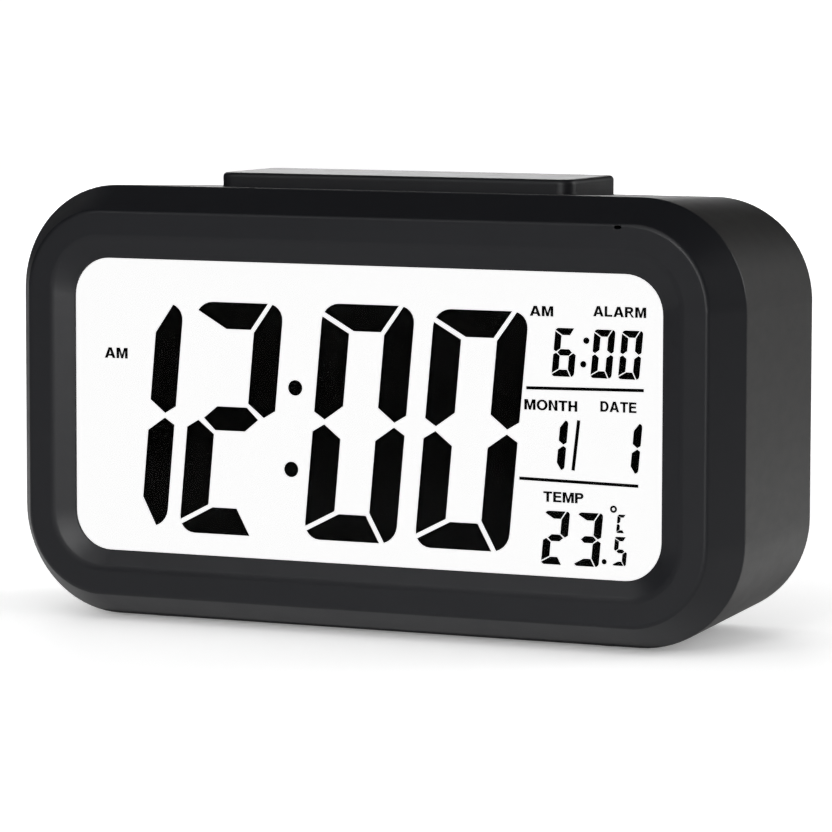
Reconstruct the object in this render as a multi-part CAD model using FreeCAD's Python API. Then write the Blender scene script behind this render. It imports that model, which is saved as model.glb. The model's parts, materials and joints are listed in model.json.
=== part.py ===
import FreeCAD, Part
import math
import os

# Digital alarm clock with a large segment display, standing on four rubber feet.
# All sizes are in millimetres. While the pieces are drawn, X is to the right, Y is the depth
# behind the front ring's flat face and Z is the height above the middle of the case. The last
# step moves them all so that the origin lies at the bottom centre and +Z is up.

V = FreeCAD.Vector
X_AXIS = V(1, 0, 0)
Y_AXIS = V(0, 1, 0)
Z_AXIS = V(0, 0, 1)

# ---------------------------------------------------------------- case
case_width = 135.0
case_height = 75.0
case_depth = 43.1
case_corner = 18.5          # corner radius at the widest outline
rear_draft = 1.5            # how far each side leans in towards the back
rear_corner = 17.45
rear_round = 1.0            # rounding of the back edge
wall = 2.0

# ---------------------------------------------------------------- front bezel
chamfer_depth = 6.65        # depth of the sloping outer face
chamfer_side = 4.4
chamfer_top = 4.2
ring_corner = 13.9
ring_width = 4.55           # flat front ring
ring_round = 0.8            # small rounding along the ring's outer edge
bevel_corner = 9.5
bevel_side = 3.8            # sloping inner face, towards the display
bevel_top = 3.35
bevel_round = 3.0           # soft transition from the ring to the inner slope
window_corner = 6.7
window_depth = 1.43
window_drop = 0.3           # the display sits this much below the middle
lip_thickness = 0.37        # straight edge of the window lip
sensor_slot = (1.3, 0.55)   # width and height of the light sensor's opening
sensor_inset = (15.9, 0.47)  # from the ring's outer edge, sideways and down

# ---------------------------------------------------------------- display stack
stack_margin = 2.8          # the panes reach this far past the window at the sides
pane_margin = 2.2           # the same above and below
lens_thickness = 0.6
polariser_thickness = 0.15
glass_thickness = 0.4
seal_gap = 0.05             # liquid crystal between the two panes
reflector_thickness = 0.2
guide_thickness = 3.0
pane_gap = 0.05             # air between neighbouring sheets
contact_ledge = 1.6         # the front pane reaches past the rear one, for the contacts
zebra_width = 1.4
zebra_length = 90.0
led_thickness = 0.85
led_size = (2.0, 3.5)       # depth and height of one lamp
led_pitch = 16.0
led_board_thickness = 0.3

# ---------------------------------------------------------------- display holder and main board
holder_back = 1.2
board_thickness = 1.6
standoff_height = 2.0
standoff_radius = 2.3
board_side_gap = 12.3       # main board's side edge to the holder's side

# ---------------------------------------------------------------- screws
post_radius = 3.5
boss_radius = 2.2
post_inset = (15.5, 6.4)    # case screws, from the widest outline sideways and down
screw_head = (2.4, 1.6)     # radius and height
screw_shank = 1.3
screw_grip = 2.8            # plastic under the head of a case screw
small_head = (1.9, 1.3)
small_shank = (1.0, 4.5)    # radius and length
screw_clearance = 0.05

# ---------------------------------------------------------------- snooze bar
bar_length = 66.2
bar_width = 21.3
bar_depth = 24.45           # middle of the bar, behind the front ring
bar_top = 2.24              # above the highest outline of the case
bar_corner = 2.5
bar_round = 0.8
bar_wall = 1.6
bar_skirt = 6.84            # height of the bar
bar_flange = 1.2
bar_clearance = 0.25
bar_travel = 0.6
stem_pitch = 48.0
stem_radius = 1.5
stem_clearance = 0.1
bridge_size = (84.0, 13.0, 1.5)
bridge_drop = 12.74         # from the bar's top down to the bridge
hanger_pitch = 77.0
spring_wire = 0.5
spring_radius = 2.6
spring_turns = 6

# ---------------------------------------------------------------- keys
key_pitch = 15.0
key_names = ("mode", "set", "up", "down", "alarm", "unit")
key_size = (9.0, 5.0)
key_flange = 1.0
key_flange_depth = 1.8
key_clearance = 0.2
key_proud = 1.4
key_round = 0.6
key_travel = 0.5
key_gap_above_bay = 10.4    # from the battery bay's top to the middle of the keys
small_board = 1.2           # thickness of the key and snooze boards
switch_size = (6.0, 3.5)    # push switch: side of the square and height
switch_stem = (1.7, 0.8)    # radius, and how far the stem stands out
stem_seat = 1.4             # how far the stem reaches into the switch

# ---------------------------------------------------------------- light-sensor slide switch
slider_body = (10.0, 6.0, 4.5)
slider_knob = (3.0, 2.5)
slider_travel = 3.0
slider_clearance = 0.3
slider_proud = 1.2

# ---------------------------------------------------------------- battery bay
cell_radius = 5.25
cell_length = 44.5
cell_nub = (1.9, 0.8)       # radius and length
cell_pitch = 11.2
cell_count = 3
contact_spring = 5.6
plate_thickness = 0.4
bay_wall = 1.4
bay_floor_gap = 0.35
bay_lift = 6.4              # from the case's inside bottom to the bay
door_thickness = 1.8
door_ledge = 1.0
door_clearance = 0.25
door_tongue = (6.0, 1.0, 1.6)  # width, thickness and reach under the wall
tongue_pitch = 30.0
latch_size = (11.0, 2.6)
foam_thickness = 0.65

# ---------------------------------------------------------------- buzzer, vents and feet
buzzer_radius = 12.5
buzzer_height = 6.2
buzzer_wall = 1.2
buzzer_disc = (11.0, 0.3)
grille_hole = 0.9
grille_rings = ((0.0, 1), (4.0, 6), (8.0, 12))
vent_size = (8.0, 1.0)
vent_pitch = 2.0
foot_radius = 4.0
foot_height = 0.5           # under the lowest line of the case
foot_spacing = 84.0
foot_depths = (13.5, 37.0)
wire_radius = 0.6

# ---------------------------------------------------------------- worked out from the above
half_width = case_width / 2
half_height = case_height / 2
back_inside = case_depth - wall
total_depth = case_depth + key_proud
case_size = (half_width, half_height, case_corner)
ring_size = (half_width - chamfer_side, half_height - chamfer_top, ring_corner)
bevel_size = (ring_size[0] - ring_width, ring_size[1] - ring_width, bevel_corner)
window_size = (bevel_size[0] - bevel_side, bevel_size[1] - bevel_top, window_corner)
rear_size = (half_width - rear_draft, half_height - rear_draft, rear_corner)
inside_half_width = rear_size[0] - wall
inside_half_height = rear_size[1] - wall

lens_front = window_depth + lip_thickness
lens_back = lens_front + lens_thickness
polariser_front = lens_back + pane_gap
front_glass_front = polariser_front + polariser_thickness
crystal_front = front_glass_front + glass_thickness
rear_glass_front = crystal_front + seal_gap
reflector_front = rear_glass_front + glass_thickness + pane_gap
guide_front = reflector_front + reflector_thickness + pane_gap
guide_back = guide_front + guide_thickness
holder_inside = guide_back + 3 * pane_gap
holder_rear = holder_inside + holder_back
board_front = holder_rear + standoff_height
board_rear = board_front + board_thickness
pane_half_width = window_size[0] + stack_margin
pane_half_height = window_size[1] + pane_margin
rear_pane_half_height = pane_half_height - contact_ledge
zebra_middle = rear_pane_half_height + 0.1 + zebra_width / 2
holder_half_width = pane_half_width + 2.3
holder_half_height = pane_half_height + 0.8
board_half_width = holder_half_width - board_side_gap
board_half_height = pane_half_height + 0.1
board_screw_x = board_half_width - 3.5
board_screw_z = board_half_height - 7.5
ear_x = 25.0
post_x = half_width - post_inset[0]
post_z = half_height - post_inset[1]
post_front = chamfer_depth + 2.5
post_seat = post_front + screw_grip

bay_half_length = (cell_length + contact_spring + 2 * plate_thickness + 0.3) / 2
bay_half_height = (cell_pitch * cell_count + 0.8) / 2
bay_middle = -inside_half_height + bay_lift + bay_wall + bay_half_height
bay_top = bay_middle + bay_half_height + bay_wall
door_inside = case_depth - door_thickness
foam_front = door_inside - foam_thickness
cell_depth = foam_front - 0.35 - cell_radius
bay_floor = cell_depth - cell_radius - bay_floor_gap
door_half_length = bay_half_length + door_ledge
door_half_height = bay_half_height + door_ledge
hinge_z = bay_middle - door_half_height

key_z = bay_top + key_gap_above_bay
board_gap = switch_size[1] + switch_stem[1]
key_back = back_inside - 2.1     # inner end of a key cap
key_board_rear = key_back - board_gap
key_board_front = key_board_rear - small_board
side_middle = (bay_half_length + bay_wall + inside_half_width) / 2
switch_z = bay_middle
buzzer_z = bay_middle
key_standoffs = ((-30.0, bay_top + 3.4), (30.0, bay_top + 3.4), (-side_middle, switch_z + 13.0))

bar_high = half_height + bar_top
bar_low = bar_high - bar_skirt
bar_ceiling = bar_high - bar_wall
bridge_top = bar_high - bridge_drop
bridge_bottom = bridge_top - bridge_size[2]
snooze_switch_bottom = bridge_top + small_board
snooze_switch_top = snooze_switch_bottom + switch_size[1]
case_middle_height = half_height + foot_height


# ---------------------------------------------------------------- drawing helpers
def box(x, y, z):
    """Block between two values along each axis."""
    return Part.makeBox(x[1] - x[0], y[1] - y[0], z[1] - z[0], V(x[0], y[0], z[0]))


def rod(radius, start, length, direction):
    """Round rod from a point along a direction."""
    return Part.makeCylinder(radius, length, V(*start), direction)


def outline(size, depth, drop=0.0):
    """Upright rounded rectangle: size is half width, half height and corner radius."""
    hx, hz, r = size
    near = r * (1 - math.sqrt(0.5))
    corners = ((1, -1), (1, 1), (-1, 1), (-1, -1))
    edges = []
    last = None
    first = None
    for sx, sz in corners:
        side = V(sx * hx, depth, sz * (hz - r) - drop)
        end = V(sx * (hx - r), depth, sz * hz - drop)
        middle = V(sx * (hx - near), depth, sz * (hz - near) - drop)
        start, stop = (end, side) if sx * sz < 0 else (side, end)
        if last is not None:
            edges.append(Part.LineSegment(last, start).toShape())
        edges.append(Part.Arc(start, middle, stop).toShape())
        first = first or start
        last = stop
    edges.append(Part.LineSegment(last, first).toShape())
    return Part.Wire(edges)


def slab(size, front, back, drop=0.0):
    """Plate with a rounded rectangular outline."""
    return Part.Face(outline(size, front, drop)).extrude(V(0, back - front, 0))


def tapered(front_size, front, back_size, back, back_drop=0.0):
    """Solid that changes evenly from one outline to another, which may sit lower."""
    wires = [outline(front_size, front), outline(back_size, back, back_drop)]
    return Part.makeLoft(wires, True, True)


def plan_plate(size, middle, low, high):
    """Level plate: size is length, width and corner radius, middle its X and Y."""
    upright = slab((size[0] / 2, size[1] / 2, size[2]), 0, high - low)
    upright.rotate(V(0, 0, 0), X_AXIS, 90)
    upright.translate(V(middle[0], middle[1], low))
    return upright


def obround(length, height, x, z, front, back):
    """Bar with round ends, standing along the depth."""
    return slab((length / 2, height / 2, height / 2 - 0.01), front, back, 0).translated(V(x, 0, z))


def joined(pieces):
    """One solid from several that touch or overlap."""
    whole = pieces[0]
    for piece in pieces[1:]:
        whole = whole.fuse(piece)
    return whole.removeSplitter()


def group(pieces):
    """Several separate solids kept as one node."""
    return Part.makeCompound(pieces)


def flat_edges(shape, depth, size):
    """Edges that lie at this depth on an outline of this size."""
    found = []
    for edge in shape.Edges:
        box_ = edge.BoundBox
        if abs(box_.YMin - depth) > 1e-4 or abs(box_.YMax - depth) > 1e-4:
            continue
        reach = max(abs(box_.XMin), abs(box_.XMax)) / size[0]
        rise = max(abs(box_.ZMin), abs(box_.ZMax)) / size[1]
        if max(reach, rise) > 0.97 and reach < 1.01 and rise < 1.02:
            found.append(edge)
    return found


def lead(points, radius):
    """Insulated wire along straight runs joined by tangent arcs."""
    corners = [V(*point) for point in points]
    edges = []
    start = corners[0]
    for before, corner, after in zip(corners, corners[1:], corners[2:]):
        back = (before - corner).normalize()
        ahead = (after - corner).normalize()
        run = min((before - corner).Length, (after - corner).Length)
        cut = 0.45 * run
        half_turn = (math.pi - back.getAngle(ahead)) / 2
        bend = cut / math.tan(half_turn)
        entry = corner + back * cut
        leave = corner + ahead * cut
        inward = (back + ahead).normalize()
        middle = corner + inward * (bend / math.cos(half_turn) - bend)
        edges.append(Part.LineSegment(start, entry).toShape())
        edges.append(Part.Arc(entry, middle, leave).toShape())
        start = leave
    edges.append(Part.LineSegment(start, corners[-1]).toShape())
    path = Part.Wire(edges)
    section = Part.Wire(Part.makeCircle(radius, corners[0], corners[1] - corners[0]))
    return path.makePipeShell([section], True, False)


def coil(radius, wire, length, turns):
    """Round-wire spring standing along Z from 0 to its length, in short tangent arcs."""
    per_turn = 8
    steps = turns * per_turn
    reach = radius / math.sqrt(math.cos(math.pi / per_turn))
    points = []
    for i in range(steps + 1):
        turn = 2 * math.pi * i / per_turn
        rise = wire / 2 + (length - wire) * i / steps
        points.append((reach * math.cos(turn), reach * math.sin(turn), rise))
    return lead(points, wire / 2)


def screw(head, shank_radius, shank_length, seat, direction):
    """Pan-head screw: seat is the point under its head, direction points to its tip."""
    away = direction * -1
    top = rod(head[0], seat, head[1], away)
    shank = rod(shank_radius, seat, shank_length, direction)
    body = joined([top, shank])
    end = V(*seat) + away * head[1]
    slot = 0.55 * head[1]
    for turn in (0, 90):
        blade = Part.makeBox(2 * 0.62 * head[0], 0.5, slot, V(-0.62 * head[0], -0.25, -slot))
        blade.rotate(V(0, 0, 0), Z_AXIS, turn)
        blade.Placement = FreeCAD.Placement(end, FreeCAD.Rotation(Z_AXIS, away)) * blade.Placement
        body = body.cut(blade)
    return body


def outside_case():
    """Full outer form of the rear case, before it is hollowed."""
    form = tapered(case_size, chamfer_depth, rear_size, case_depth)
    return form.makeFillet(rear_round, flat_edges(form, case_depth, rear_size))


# ---------------------------------------------------------------- case and bezel
def bezel_half(depth, trim):
    """Bezel outline at a depth, trimmed inwards."""
    share = depth / chamfer_depth
    sizes = (ring_size[i] + (case_size[i] - ring_size[i]) * share - trim for i in range(3))
    return tuple(sizes)


def front_bezel():
    """Black front frame with a flat ring, a sloping rim and an inner slope to the window."""
    form = tapered(ring_size, 0, case_size, chamfer_depth)
    form = form.makeFillet(ring_round, flat_edges(form, 0, ring_size))
    opening = joined([
        slab(bevel_size, -1, 0),
        tapered(bevel_size, 0, window_size, window_depth, window_drop),
    ])
    form = form.cut(opening)
    form = form.makeFillet(bevel_round, flat_edges(form, 0, bevel_size))
    form = form.cut(slab(window_size, window_depth - 0.5, lens_front + 0.5, window_drop))
    pane = (pane_half_width + 0.2, pane_half_height + 0.2, 1.0)
    form = form.cut(slab(pane, lens_front, lens_back + pane_gap, window_drop))
    cavity_front = lens_back + pane_gap
    cavity = tapered(bezel_half(cavity_front, wall), cavity_front,
                     bezel_half(chamfer_depth, wall), chamfer_depth)
    form = form.cut(cavity)
    bosses = []
    for sx in (-1, 1):
        for sz in (-1, 1):
            bosses.append(rod(boss_radius, (sx * post_x, cavity_front - 0.2, sz * post_z),
                              post_front - cavity_front, Y_AXIS))
            bosses.append(rod(boss_radius, (sx * ear_x, cavity_front - 0.2, sz * post_z),
                              holder_inside - cavity_front + 0.2, Y_AXIS))
    form = joined([form] + bosses)
    for sx in (-1, 1):
        for sz in (-1, 1):
            form = form.cut(rod(screw_shank + screw_clearance,
                                (sx * post_x, cavity_front + 0.3, sz * post_z), post_front, Y_AXIS))
            form = form.cut(rod(small_shank[0] + screw_clearance,
                                (sx * ear_x, cavity_front + 0.3, sz * post_z), post_front, Y_AXIS))
    slot_x = ring_size[0] - sensor_inset[0]
    slot_z = ring_size[1] - sensor_inset[1]
    return form.cut(obround(sensor_slot[0], sensor_slot[1], slot_x, slot_z, -1, cavity_front + 1))


def battery_bay():
    """Box moulded inside the back for the cells."""
    hx = bay_half_length + bay_wall
    hz = bay_half_height + bay_wall
    return box((-hx, hx), (bay_floor - bay_wall, back_inside + 0.2), (bay_middle - hz, bay_middle + hz))


def screw_posts():
    """Tubes for the case screws, each with a rib to the nearest wall."""
    pieces = []
    for sx in (-1, 1):
        for sz in (-1, 1):
            pieces.append(rod(post_radius, (sx * post_x, post_front, sz * post_z),
                              back_inside - post_front + 0.2, Y_AXIS))
            rib_x = (sx * post_x - 0.7, sx * post_x + 0.7)
            rib_z = sorted((sz * post_z, sz * (half_height + 1)))
            pieces.append(box(rib_x, (post_front + 1, back_inside + 0.2), rib_z))
    return pieces


def back_cuts():
    """Everything that is cut through or into the back wall."""
    rear = case_depth + 1
    cuts = []
    for sx in (-1, 1):
        for sz in (-1, 1):
            spot = (sx * post_x, post_seat, sz * post_z)
            cuts.append(rod(screw_head[0] + 0.3, spot, rear, Y_AXIS))
            hole = (spot[0], post_front - 1, spot[2])
            cuts.append(rod(screw_shank + 2 * screw_clearance, hole, rear, Y_AXIS))
    for i in range(len(key_names)):
        wide = key_size[0] + 2 * key_clearance
        high = key_size[1] + 2 * key_clearance
        cuts.append(obround(wide, high, key_x(i), key_z, back_inside - 1, rear))
    for radius, count in grille_rings:
        for i in range(count):
            turn = 2 * math.pi * i / count
            x = side_middle + radius * math.cos(turn)
            z = buzzer_z + radius * math.sin(turn)
            cuts.append(rod(grille_hole, (x, back_inside - 0.5, z), wall + 2, Y_AXIS))
    for i in range(3):
        middle = switch_z - 10.5 - i * vent_pitch
        cuts.append(obround(vent_size[0], vent_size[1], -side_middle, middle, back_inside - 0.5, rear))
    slot = slider_knob[0] + slider_travel + 2 * slider_clearance
    high = slider_knob[1] + 2 * slider_clearance
    cuts.append(obround(slot + 5, high + 3, -side_middle, switch_z, case_depth - 0.6, rear))
    sides = (-side_middle - slot / 2, -side_middle + slot / 2)
    cuts.append(box(sides, (back_inside - 1, rear), (switch_z - high / 2, switch_z + high / 2)))
    return cuts


def bay_cuts():
    """Inside of the battery bay, the door's seat, its tongue slots and the thumb recess."""
    rear = case_depth + 1
    inner_x = (-bay_half_length, bay_half_length)
    inner_z = (bay_middle - bay_half_height, bay_middle + bay_half_height)
    cuts = [box(inner_x, (bay_floor, rear), inner_z)]
    seat_x = (-door_half_length, door_half_length)
    cuts.append(box(seat_x, (door_inside, rear), (hinge_z, bay_middle + door_half_height)))
    reach = door_tongue[1] + door_tongue[2] + 1.4
    for sx in (-1, 1):
        middle = sx * tongue_pitch / 2
        across = (middle - door_tongue[0] / 2 - 0.3, middle + door_tongue[0] / 2 + 0.3)
        cuts.append(box(across, (back_inside - 1.9, back_inside),
                        (hinge_z - door_tongue[2] - 0.3, hinge_z + reach)))
        cuts.append(box(across, (back_inside - 1.9, rear), (hinge_z, hinge_z + reach)))
    top = bay_middle + door_half_height
    scoop_x = latch_size[0] / 2 + 0.5
    cuts.append(box((-scoop_x, scoop_x), (case_depth - 1.5, rear), (top - 1, top + latch_size[1] + 0.9)))
    return cuts


def rear_case():
    """Rear housing: four sides and the back, with the battery bay, posts and openings."""
    form = outside_case()
    inner_front = (case_size[0] - wall, case_size[1] - wall, case_size[2] - wall)
    inner_rear = (rear_size[0] - wall, rear_size[1] - wall, rear_size[2] - wall)
    hollow = tapered(inner_front, chamfer_depth - 0.001, inner_rear, back_inside)
    shell = form.cut(hollow)
    parts = [battery_bay()] + screw_posts()
    for x, z in key_standoffs:
        parts.append(rod(2.5, (x, key_board_rear, z), back_inside - key_board_rear + 0.2, Y_AXIS))
    for sx in (-1, 1):
        parts.append(rod(2.5, (sx * hanger_pitch / 2, bar_depth, bridge_top), half_height, Z_AXIS))
    inserts = Part.makeCompound([part.common(form) for part in parts])
    shell = shell.fuse(inserts.Solids)
    holes = back_cuts() + bay_cuts()
    pilot = small_shank[0] + screw_clearance
    pilot_depth = small_shank[1] + 1
    for x, z in key_standoffs:
        holes.append(rod(pilot, (x, key_board_rear - 1, z), pilot_depth, Y_AXIS))
    for sx in (-1, 1):
        holes.append(rod(pilot, (sx * hanger_pitch / 2, bar_depth, bridge_top - 1), pilot_depth, Z_AXIS))
    plan = (bar_length + 2 * bar_clearance, bar_width + 2 * bar_clearance, bar_corner + bar_clearance)
    holes.append(plan_plate(plan, (0, bar_depth), inside_half_height - 1, half_height + 1))
    return shell.cut(holes).removeSplitter()


# ---------------------------------------------------------------- display
def sheet(half_x, half_z, front, thickness):
    """Square-cornered sheet of the display stack."""
    return box((-half_x, half_x), (front, front + thickness), (-half_z - window_drop, half_z - window_drop))


def display_pieces():
    """Lens, liquid-crystal panes, reflector, light guide, lamps and contact strips."""
    pieces = {}
    lens = (pane_half_width, pane_half_height, 0.9)
    pieces["display_lens"] = slab(lens, lens_front, lens_back, window_drop)
    wide = pane_half_width
    low = rear_pane_half_height
    pieces["front_polariser"] = sheet(wide - 0.6, low, polariser_front, polariser_thickness)
    pieces["lcd_front_glass"] = sheet(wide, pane_half_height - 0.1, front_glass_front, glass_thickness)
    pieces["lcd_rear_glass"] = sheet(wide, low, rear_glass_front, glass_thickness)
    pieces["rear_reflector"] = sheet(wide, low, reflector_front, reflector_thickness)
    guide_left = -wide - 0.1 + led_board_thickness + led_thickness + pane_gap
    pieces["light_guide"] = box((guide_left, wide - 0.4), (guide_front, guide_back),
                                (-low + 0.3 - window_drop, low - 0.3 - window_drop))
    board_left = -wide - 0.1
    across = (guide_front + 0.1, guide_back - 0.1)
    pieces["backlight_board"] = box((board_left, board_left + led_board_thickness), across, (-22, 22))
    lamps = []
    for i in (-1, 0, 1):
        depth = (guide_front + guide_back) / 2
        left = board_left + led_board_thickness
        lamps.append(box((left, left + led_thickness), (depth - led_size[0] / 2, depth + led_size[0] / 2),
                         (i * led_pitch - led_size[1] / 2, i * led_pitch + led_size[1] / 2)))
    pieces["backlight_leds"] = group(lamps)
    for name, side in (("zebra_strip_upper", 1), ("zebra_strip_lower", -1)):
        middle = side * zebra_middle - window_drop
        pieces[name] = box((-zebra_length / 2, zebra_length / 2), (crystal_front, board_front),
                           (middle - zebra_width / 2, middle + zebra_width / 2))
    return pieces


def lcd_holder():
    """White tray that holds the display stack against the bezel and carries the main board."""
    front = lens_back + pane_gap + 0.2
    form = slab((holder_half_width, holder_half_height, 3.0), front, holder_rear, window_drop)
    pocket = (pane_half_width + 0.4, pane_half_height + 0.3)
    form = form.cut(box((-pocket[0], pocket[0]), (front - 1, holder_inside),
                        (-pocket[1] - window_drop, pocket[1] - window_drop)))
    extra = []
    for sx in (-1, 1):
        for sz in (-1, 1):
            extra.append(rod(standoff_radius, (sx * board_screw_x, holder_inside, sz * board_screw_z),
                             board_front - holder_inside, Y_AXIS))
            ear = sorted((sz * (holder_half_height - 1.5), sz * (post_z + 1.5)))
            extra.append(box((sx * ear_x - 3, sx * ear_x + 3), (holder_inside, holder_rear), ear))
    form = joined([form] + extra)
    for side in (1, -1):
        middle = side * zebra_middle - window_drop
        slit_x = (-zebra_length / 2 - 0.1, zebra_length / 2 + 0.1)
        slit_z = (middle - zebra_width / 2 - 0.05, middle + zebra_width / 2 + 0.05)
        form = form.cut(box(slit_x, (front, holder_rear + 1), slit_z))
    for sx in (-1, 1):
        for sz in (-1, 1):
            pilot = (sx * board_screw_x, board_rear - small_shank[1], sz * board_screw_z)
            form = form.cut(rod(small_shank[0] + screw_clearance, pilot, small_shank[1], Y_AXIS))
            hole = (sx * ear_x, holder_inside - 1, sz * post_z)
            form = form.cut(rod(small_shank[0] + 0.2, hole, 4, Y_AXIS))
    return form


# ---------------------------------------------------------------- main board
def main_board_pieces():
    """Main circuit board and what is soldered on its rear side."""
    pieces = {}
    board = box((-board_half_width, board_half_width), (board_front, board_rear),
                (-board_half_height - window_drop, board_half_height - window_drop))
    for sx in (-1, 1):
        for sz in (-1, 1):
            hole = (sx * board_screw_x, board_front - 1, sz * board_screw_z)
            board = board.cut(rod(small_shank[0] + 0.2, hole, board_thickness + 2, Y_AXIS))
    pieces["main_board"] = board
    dome = Part.makeSphere(14.0, V(0, board_rear - 12.2, -4))
    pieces["controller_blob"] = dome.common(box((-10, 10), (board_rear, board_rear + 4), (-14, 6)))
    crystal = rod(1.5, (14, board_rear + 1.5, -8), 6.0, Z_AXIS)
    pins = box((13.4, 14.6), (board_rear, board_rear + 1.5), (-7, -3))
    pieces["crystal"] = joined([crystal, pins])
    cans = []
    for drop in (12.0, 19.0, 26.0):
        can = rod(2.5, (-18, board_rear, key_z - drop), 6.5, Y_AXIS)
        cans.append(can.makeFillet(0.4, [edge for edge in can.Edges if edge.BoundBox.YMin > board_rear + 6]))
    pieces["capacitors"] = group(cans)
    chips = []
    for i in range(6):
        chips.append(box((16 + 3.5 * i, 18 + 3.5 * i), (board_rear, board_rear + 0.6), (4, 5.25)))
    pieces["chip_resistors"] = group(chips)
    return pieces


def light_sensor_pieces():
    """Light sensor behind its opening in the ring, and its leads to the main board."""
    x = ring_size[0] - sensor_inset[0]
    room = bezel_half(lens_back + pane_gap, wall)[1] - 1.25 - 0.15
    z = min(ring_size[1] - sensor_inset[1] - 1.45, room)
    front = lens_back + pane_gap + 0.15
    lens = rod(1.25, (x, front, z), 3.2, Y_AXIS)
    leads = []
    for side in (-1, 1):
        start = x + side * 0.6
        stop = board_half_width - 4 + side * 1.2
        leads.append(lead(((start, front + 3.2, z), (start, board_rear + 4, z), (stop, board_rear + 4, z - 7),
                           (stop, board_rear, z - 7)), 0.3))
    return {"light_sensor": lens, "sensor_leads": group(leads)}


# ---------------------------------------------------------------- snooze bar and its switch
def snooze_bar():
    """Hollow bar with a stop flange, two guide stems and a rib that works the switch."""
    plan = (bar_length, bar_width, bar_corner)
    form = plan_plate(plan, (0, bar_depth), bar_low, bar_high)
    top = [edge for edge in form.Edges if edge.BoundBox.ZMin > bar_high - 1e-3]
    form = form.makeFillet(bar_round, top)
    flange = (bar_length + 2 * bar_flange, bar_width + 2 * bar_flange, bar_corner)
    flange_top = inside_half_height - 0.05
    form = form.fuse(plan_plate(flange, (0, bar_depth), bar_low, flange_top))
    inner = (bar_length - 2 * bar_wall, bar_width - 2 * bar_wall, 1.0)
    form = form.cut(plan_plate(inner, (0, bar_depth), bar_low - 1, bar_ceiling))
    stem_end = bridge_bottom - 3.0
    for sx in (-1, 1):
        form = form.fuse(rod(stem_radius, (sx * stem_pitch / 2, bar_depth, stem_end),
                             bar_ceiling - stem_end + 0.2, Z_AXIS))
    rib_end = snooze_switch_top + switch_stem[1]
    form = form.fuse(rod(2.5, (0, bar_depth, rib_end), bar_ceiling - rib_end + 0.2, Z_AXIS))
    rib_y = (bar_depth - bar_width / 2 + 1, bar_depth + bar_width / 2 - 1)
    for x in (-bar_length / 4, bar_length / 4):
        form = form.fuse(box((x - 0.5, x + 0.5), rib_y, (bar_ceiling - 1.5, bar_ceiling + 0.2)))
    return form.removeSplitter()


def snooze_pieces():
    """Bridge under the bar with its springs, board and push switch."""
    pieces = {"snooze_bar": snooze_bar()}
    long, wide, thick = bridge_size
    bridge = plan_plate((long, wide, 2.0), (0, bar_depth), bridge_bottom, bridge_top)
    for sx in (-1, 1):
        holes = ((stem_radius + stem_clearance, stem_pitch), (small_shank[0] + 0.2, hanger_pitch))
        for radius, pitch in holes:
            spot = (sx * pitch / 2, bar_depth, bridge_bottom - 1)
            bridge = bridge.cut(rod(radius, spot, thick + 2, Z_AXIS))
    pieces["snooze_bridge"] = bridge
    springs = []
    for sx in (-1, 1):
        spring = coil(spring_radius, spring_wire, bar_ceiling - bridge_top - 0.04, spring_turns)
        springs.append(spring.translated(V(sx * stem_pitch / 2, bar_depth, bridge_top + 0.02)))
    pieces["snooze_springs"] = group(springs)
    pieces["snooze_board"] = plan_plate((16, 11, 0.5), (0, bar_depth), bridge_top, snooze_switch_bottom)
    half = switch_size[0] / 2
    body = box((-half, half), (bar_depth - half, bar_depth + half), (snooze_switch_bottom, snooze_switch_top))
    seat = snooze_switch_top - stem_seat - bar_travel - 0.2
    pieces["snooze_switch"] = body.cut(rod(switch_stem[0] + 0.1, (0, bar_depth, seat), 5, Z_AXIS))
    pieces["snooze_switch_stem"] = rod(switch_stem[0], (0, bar_depth, snooze_switch_top - stem_seat),
                                       stem_seat + switch_stem[1], Z_AXIS)
    leads = []
    edge = bar_depth - 5.5
    level = bridge_top + small_board / 2
    for x in (1.0, 3.2):
        leads.append(lead(((x, edge, level), (x, board_rear + 3, level), (x, board_rear + 3, level - 7),
                           (x, board_rear, level - 7)), wire_radius))
    pieces["snooze_leads"] = group(leads)
    return pieces


# ---------------------------------------------------------------- keys and key board
def key_x(i):
    """Middle of a key, counted from the left as seen from the front."""
    return (i - (len(key_names) - 1) / 2) * key_pitch


def key_pieces():
    """Key caps with their push-switch stems, and the row of switches."""
    pieces = {}
    switches = []
    half = switch_size[0] / 2
    switch_rear = key_board_rear + switch_size[1]
    for i, name in enumerate(key_names):
        x = key_x(i)
        cap = obround(key_size[0], key_size[1], x, key_z, key_back, total_depth)
        rim = [edge for edge in cap.Edges if edge.BoundBox.YMin > total_depth - 1e-3]
        cap = cap.makeFillet(key_round, rim)
        flange = obround(key_size[0] + 2 * key_flange, key_size[1] + 2 * key_flange, x, key_z,
                         key_back, key_back + key_flange_depth)
        pieces[name + "_key"] = joined([cap, flange])
        stem_front = switch_rear - stem_seat
        stem_length = key_back - stem_front
        pieces[name + "_key_stem"] = rod(switch_stem[0], (x, stem_front, key_z), stem_length, Y_AXIS)
        body = box((x - half, x + half), (key_board_rear, switch_rear), (key_z - half, key_z + half))
        seat = stem_front - key_travel - 0.2
        switches.append(body.cut(rod(switch_stem[0] + 0.1, (x, seat, key_z), 5, Y_AXIS)))
    pieces["key_switches"] = group(switches)
    return pieces


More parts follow.
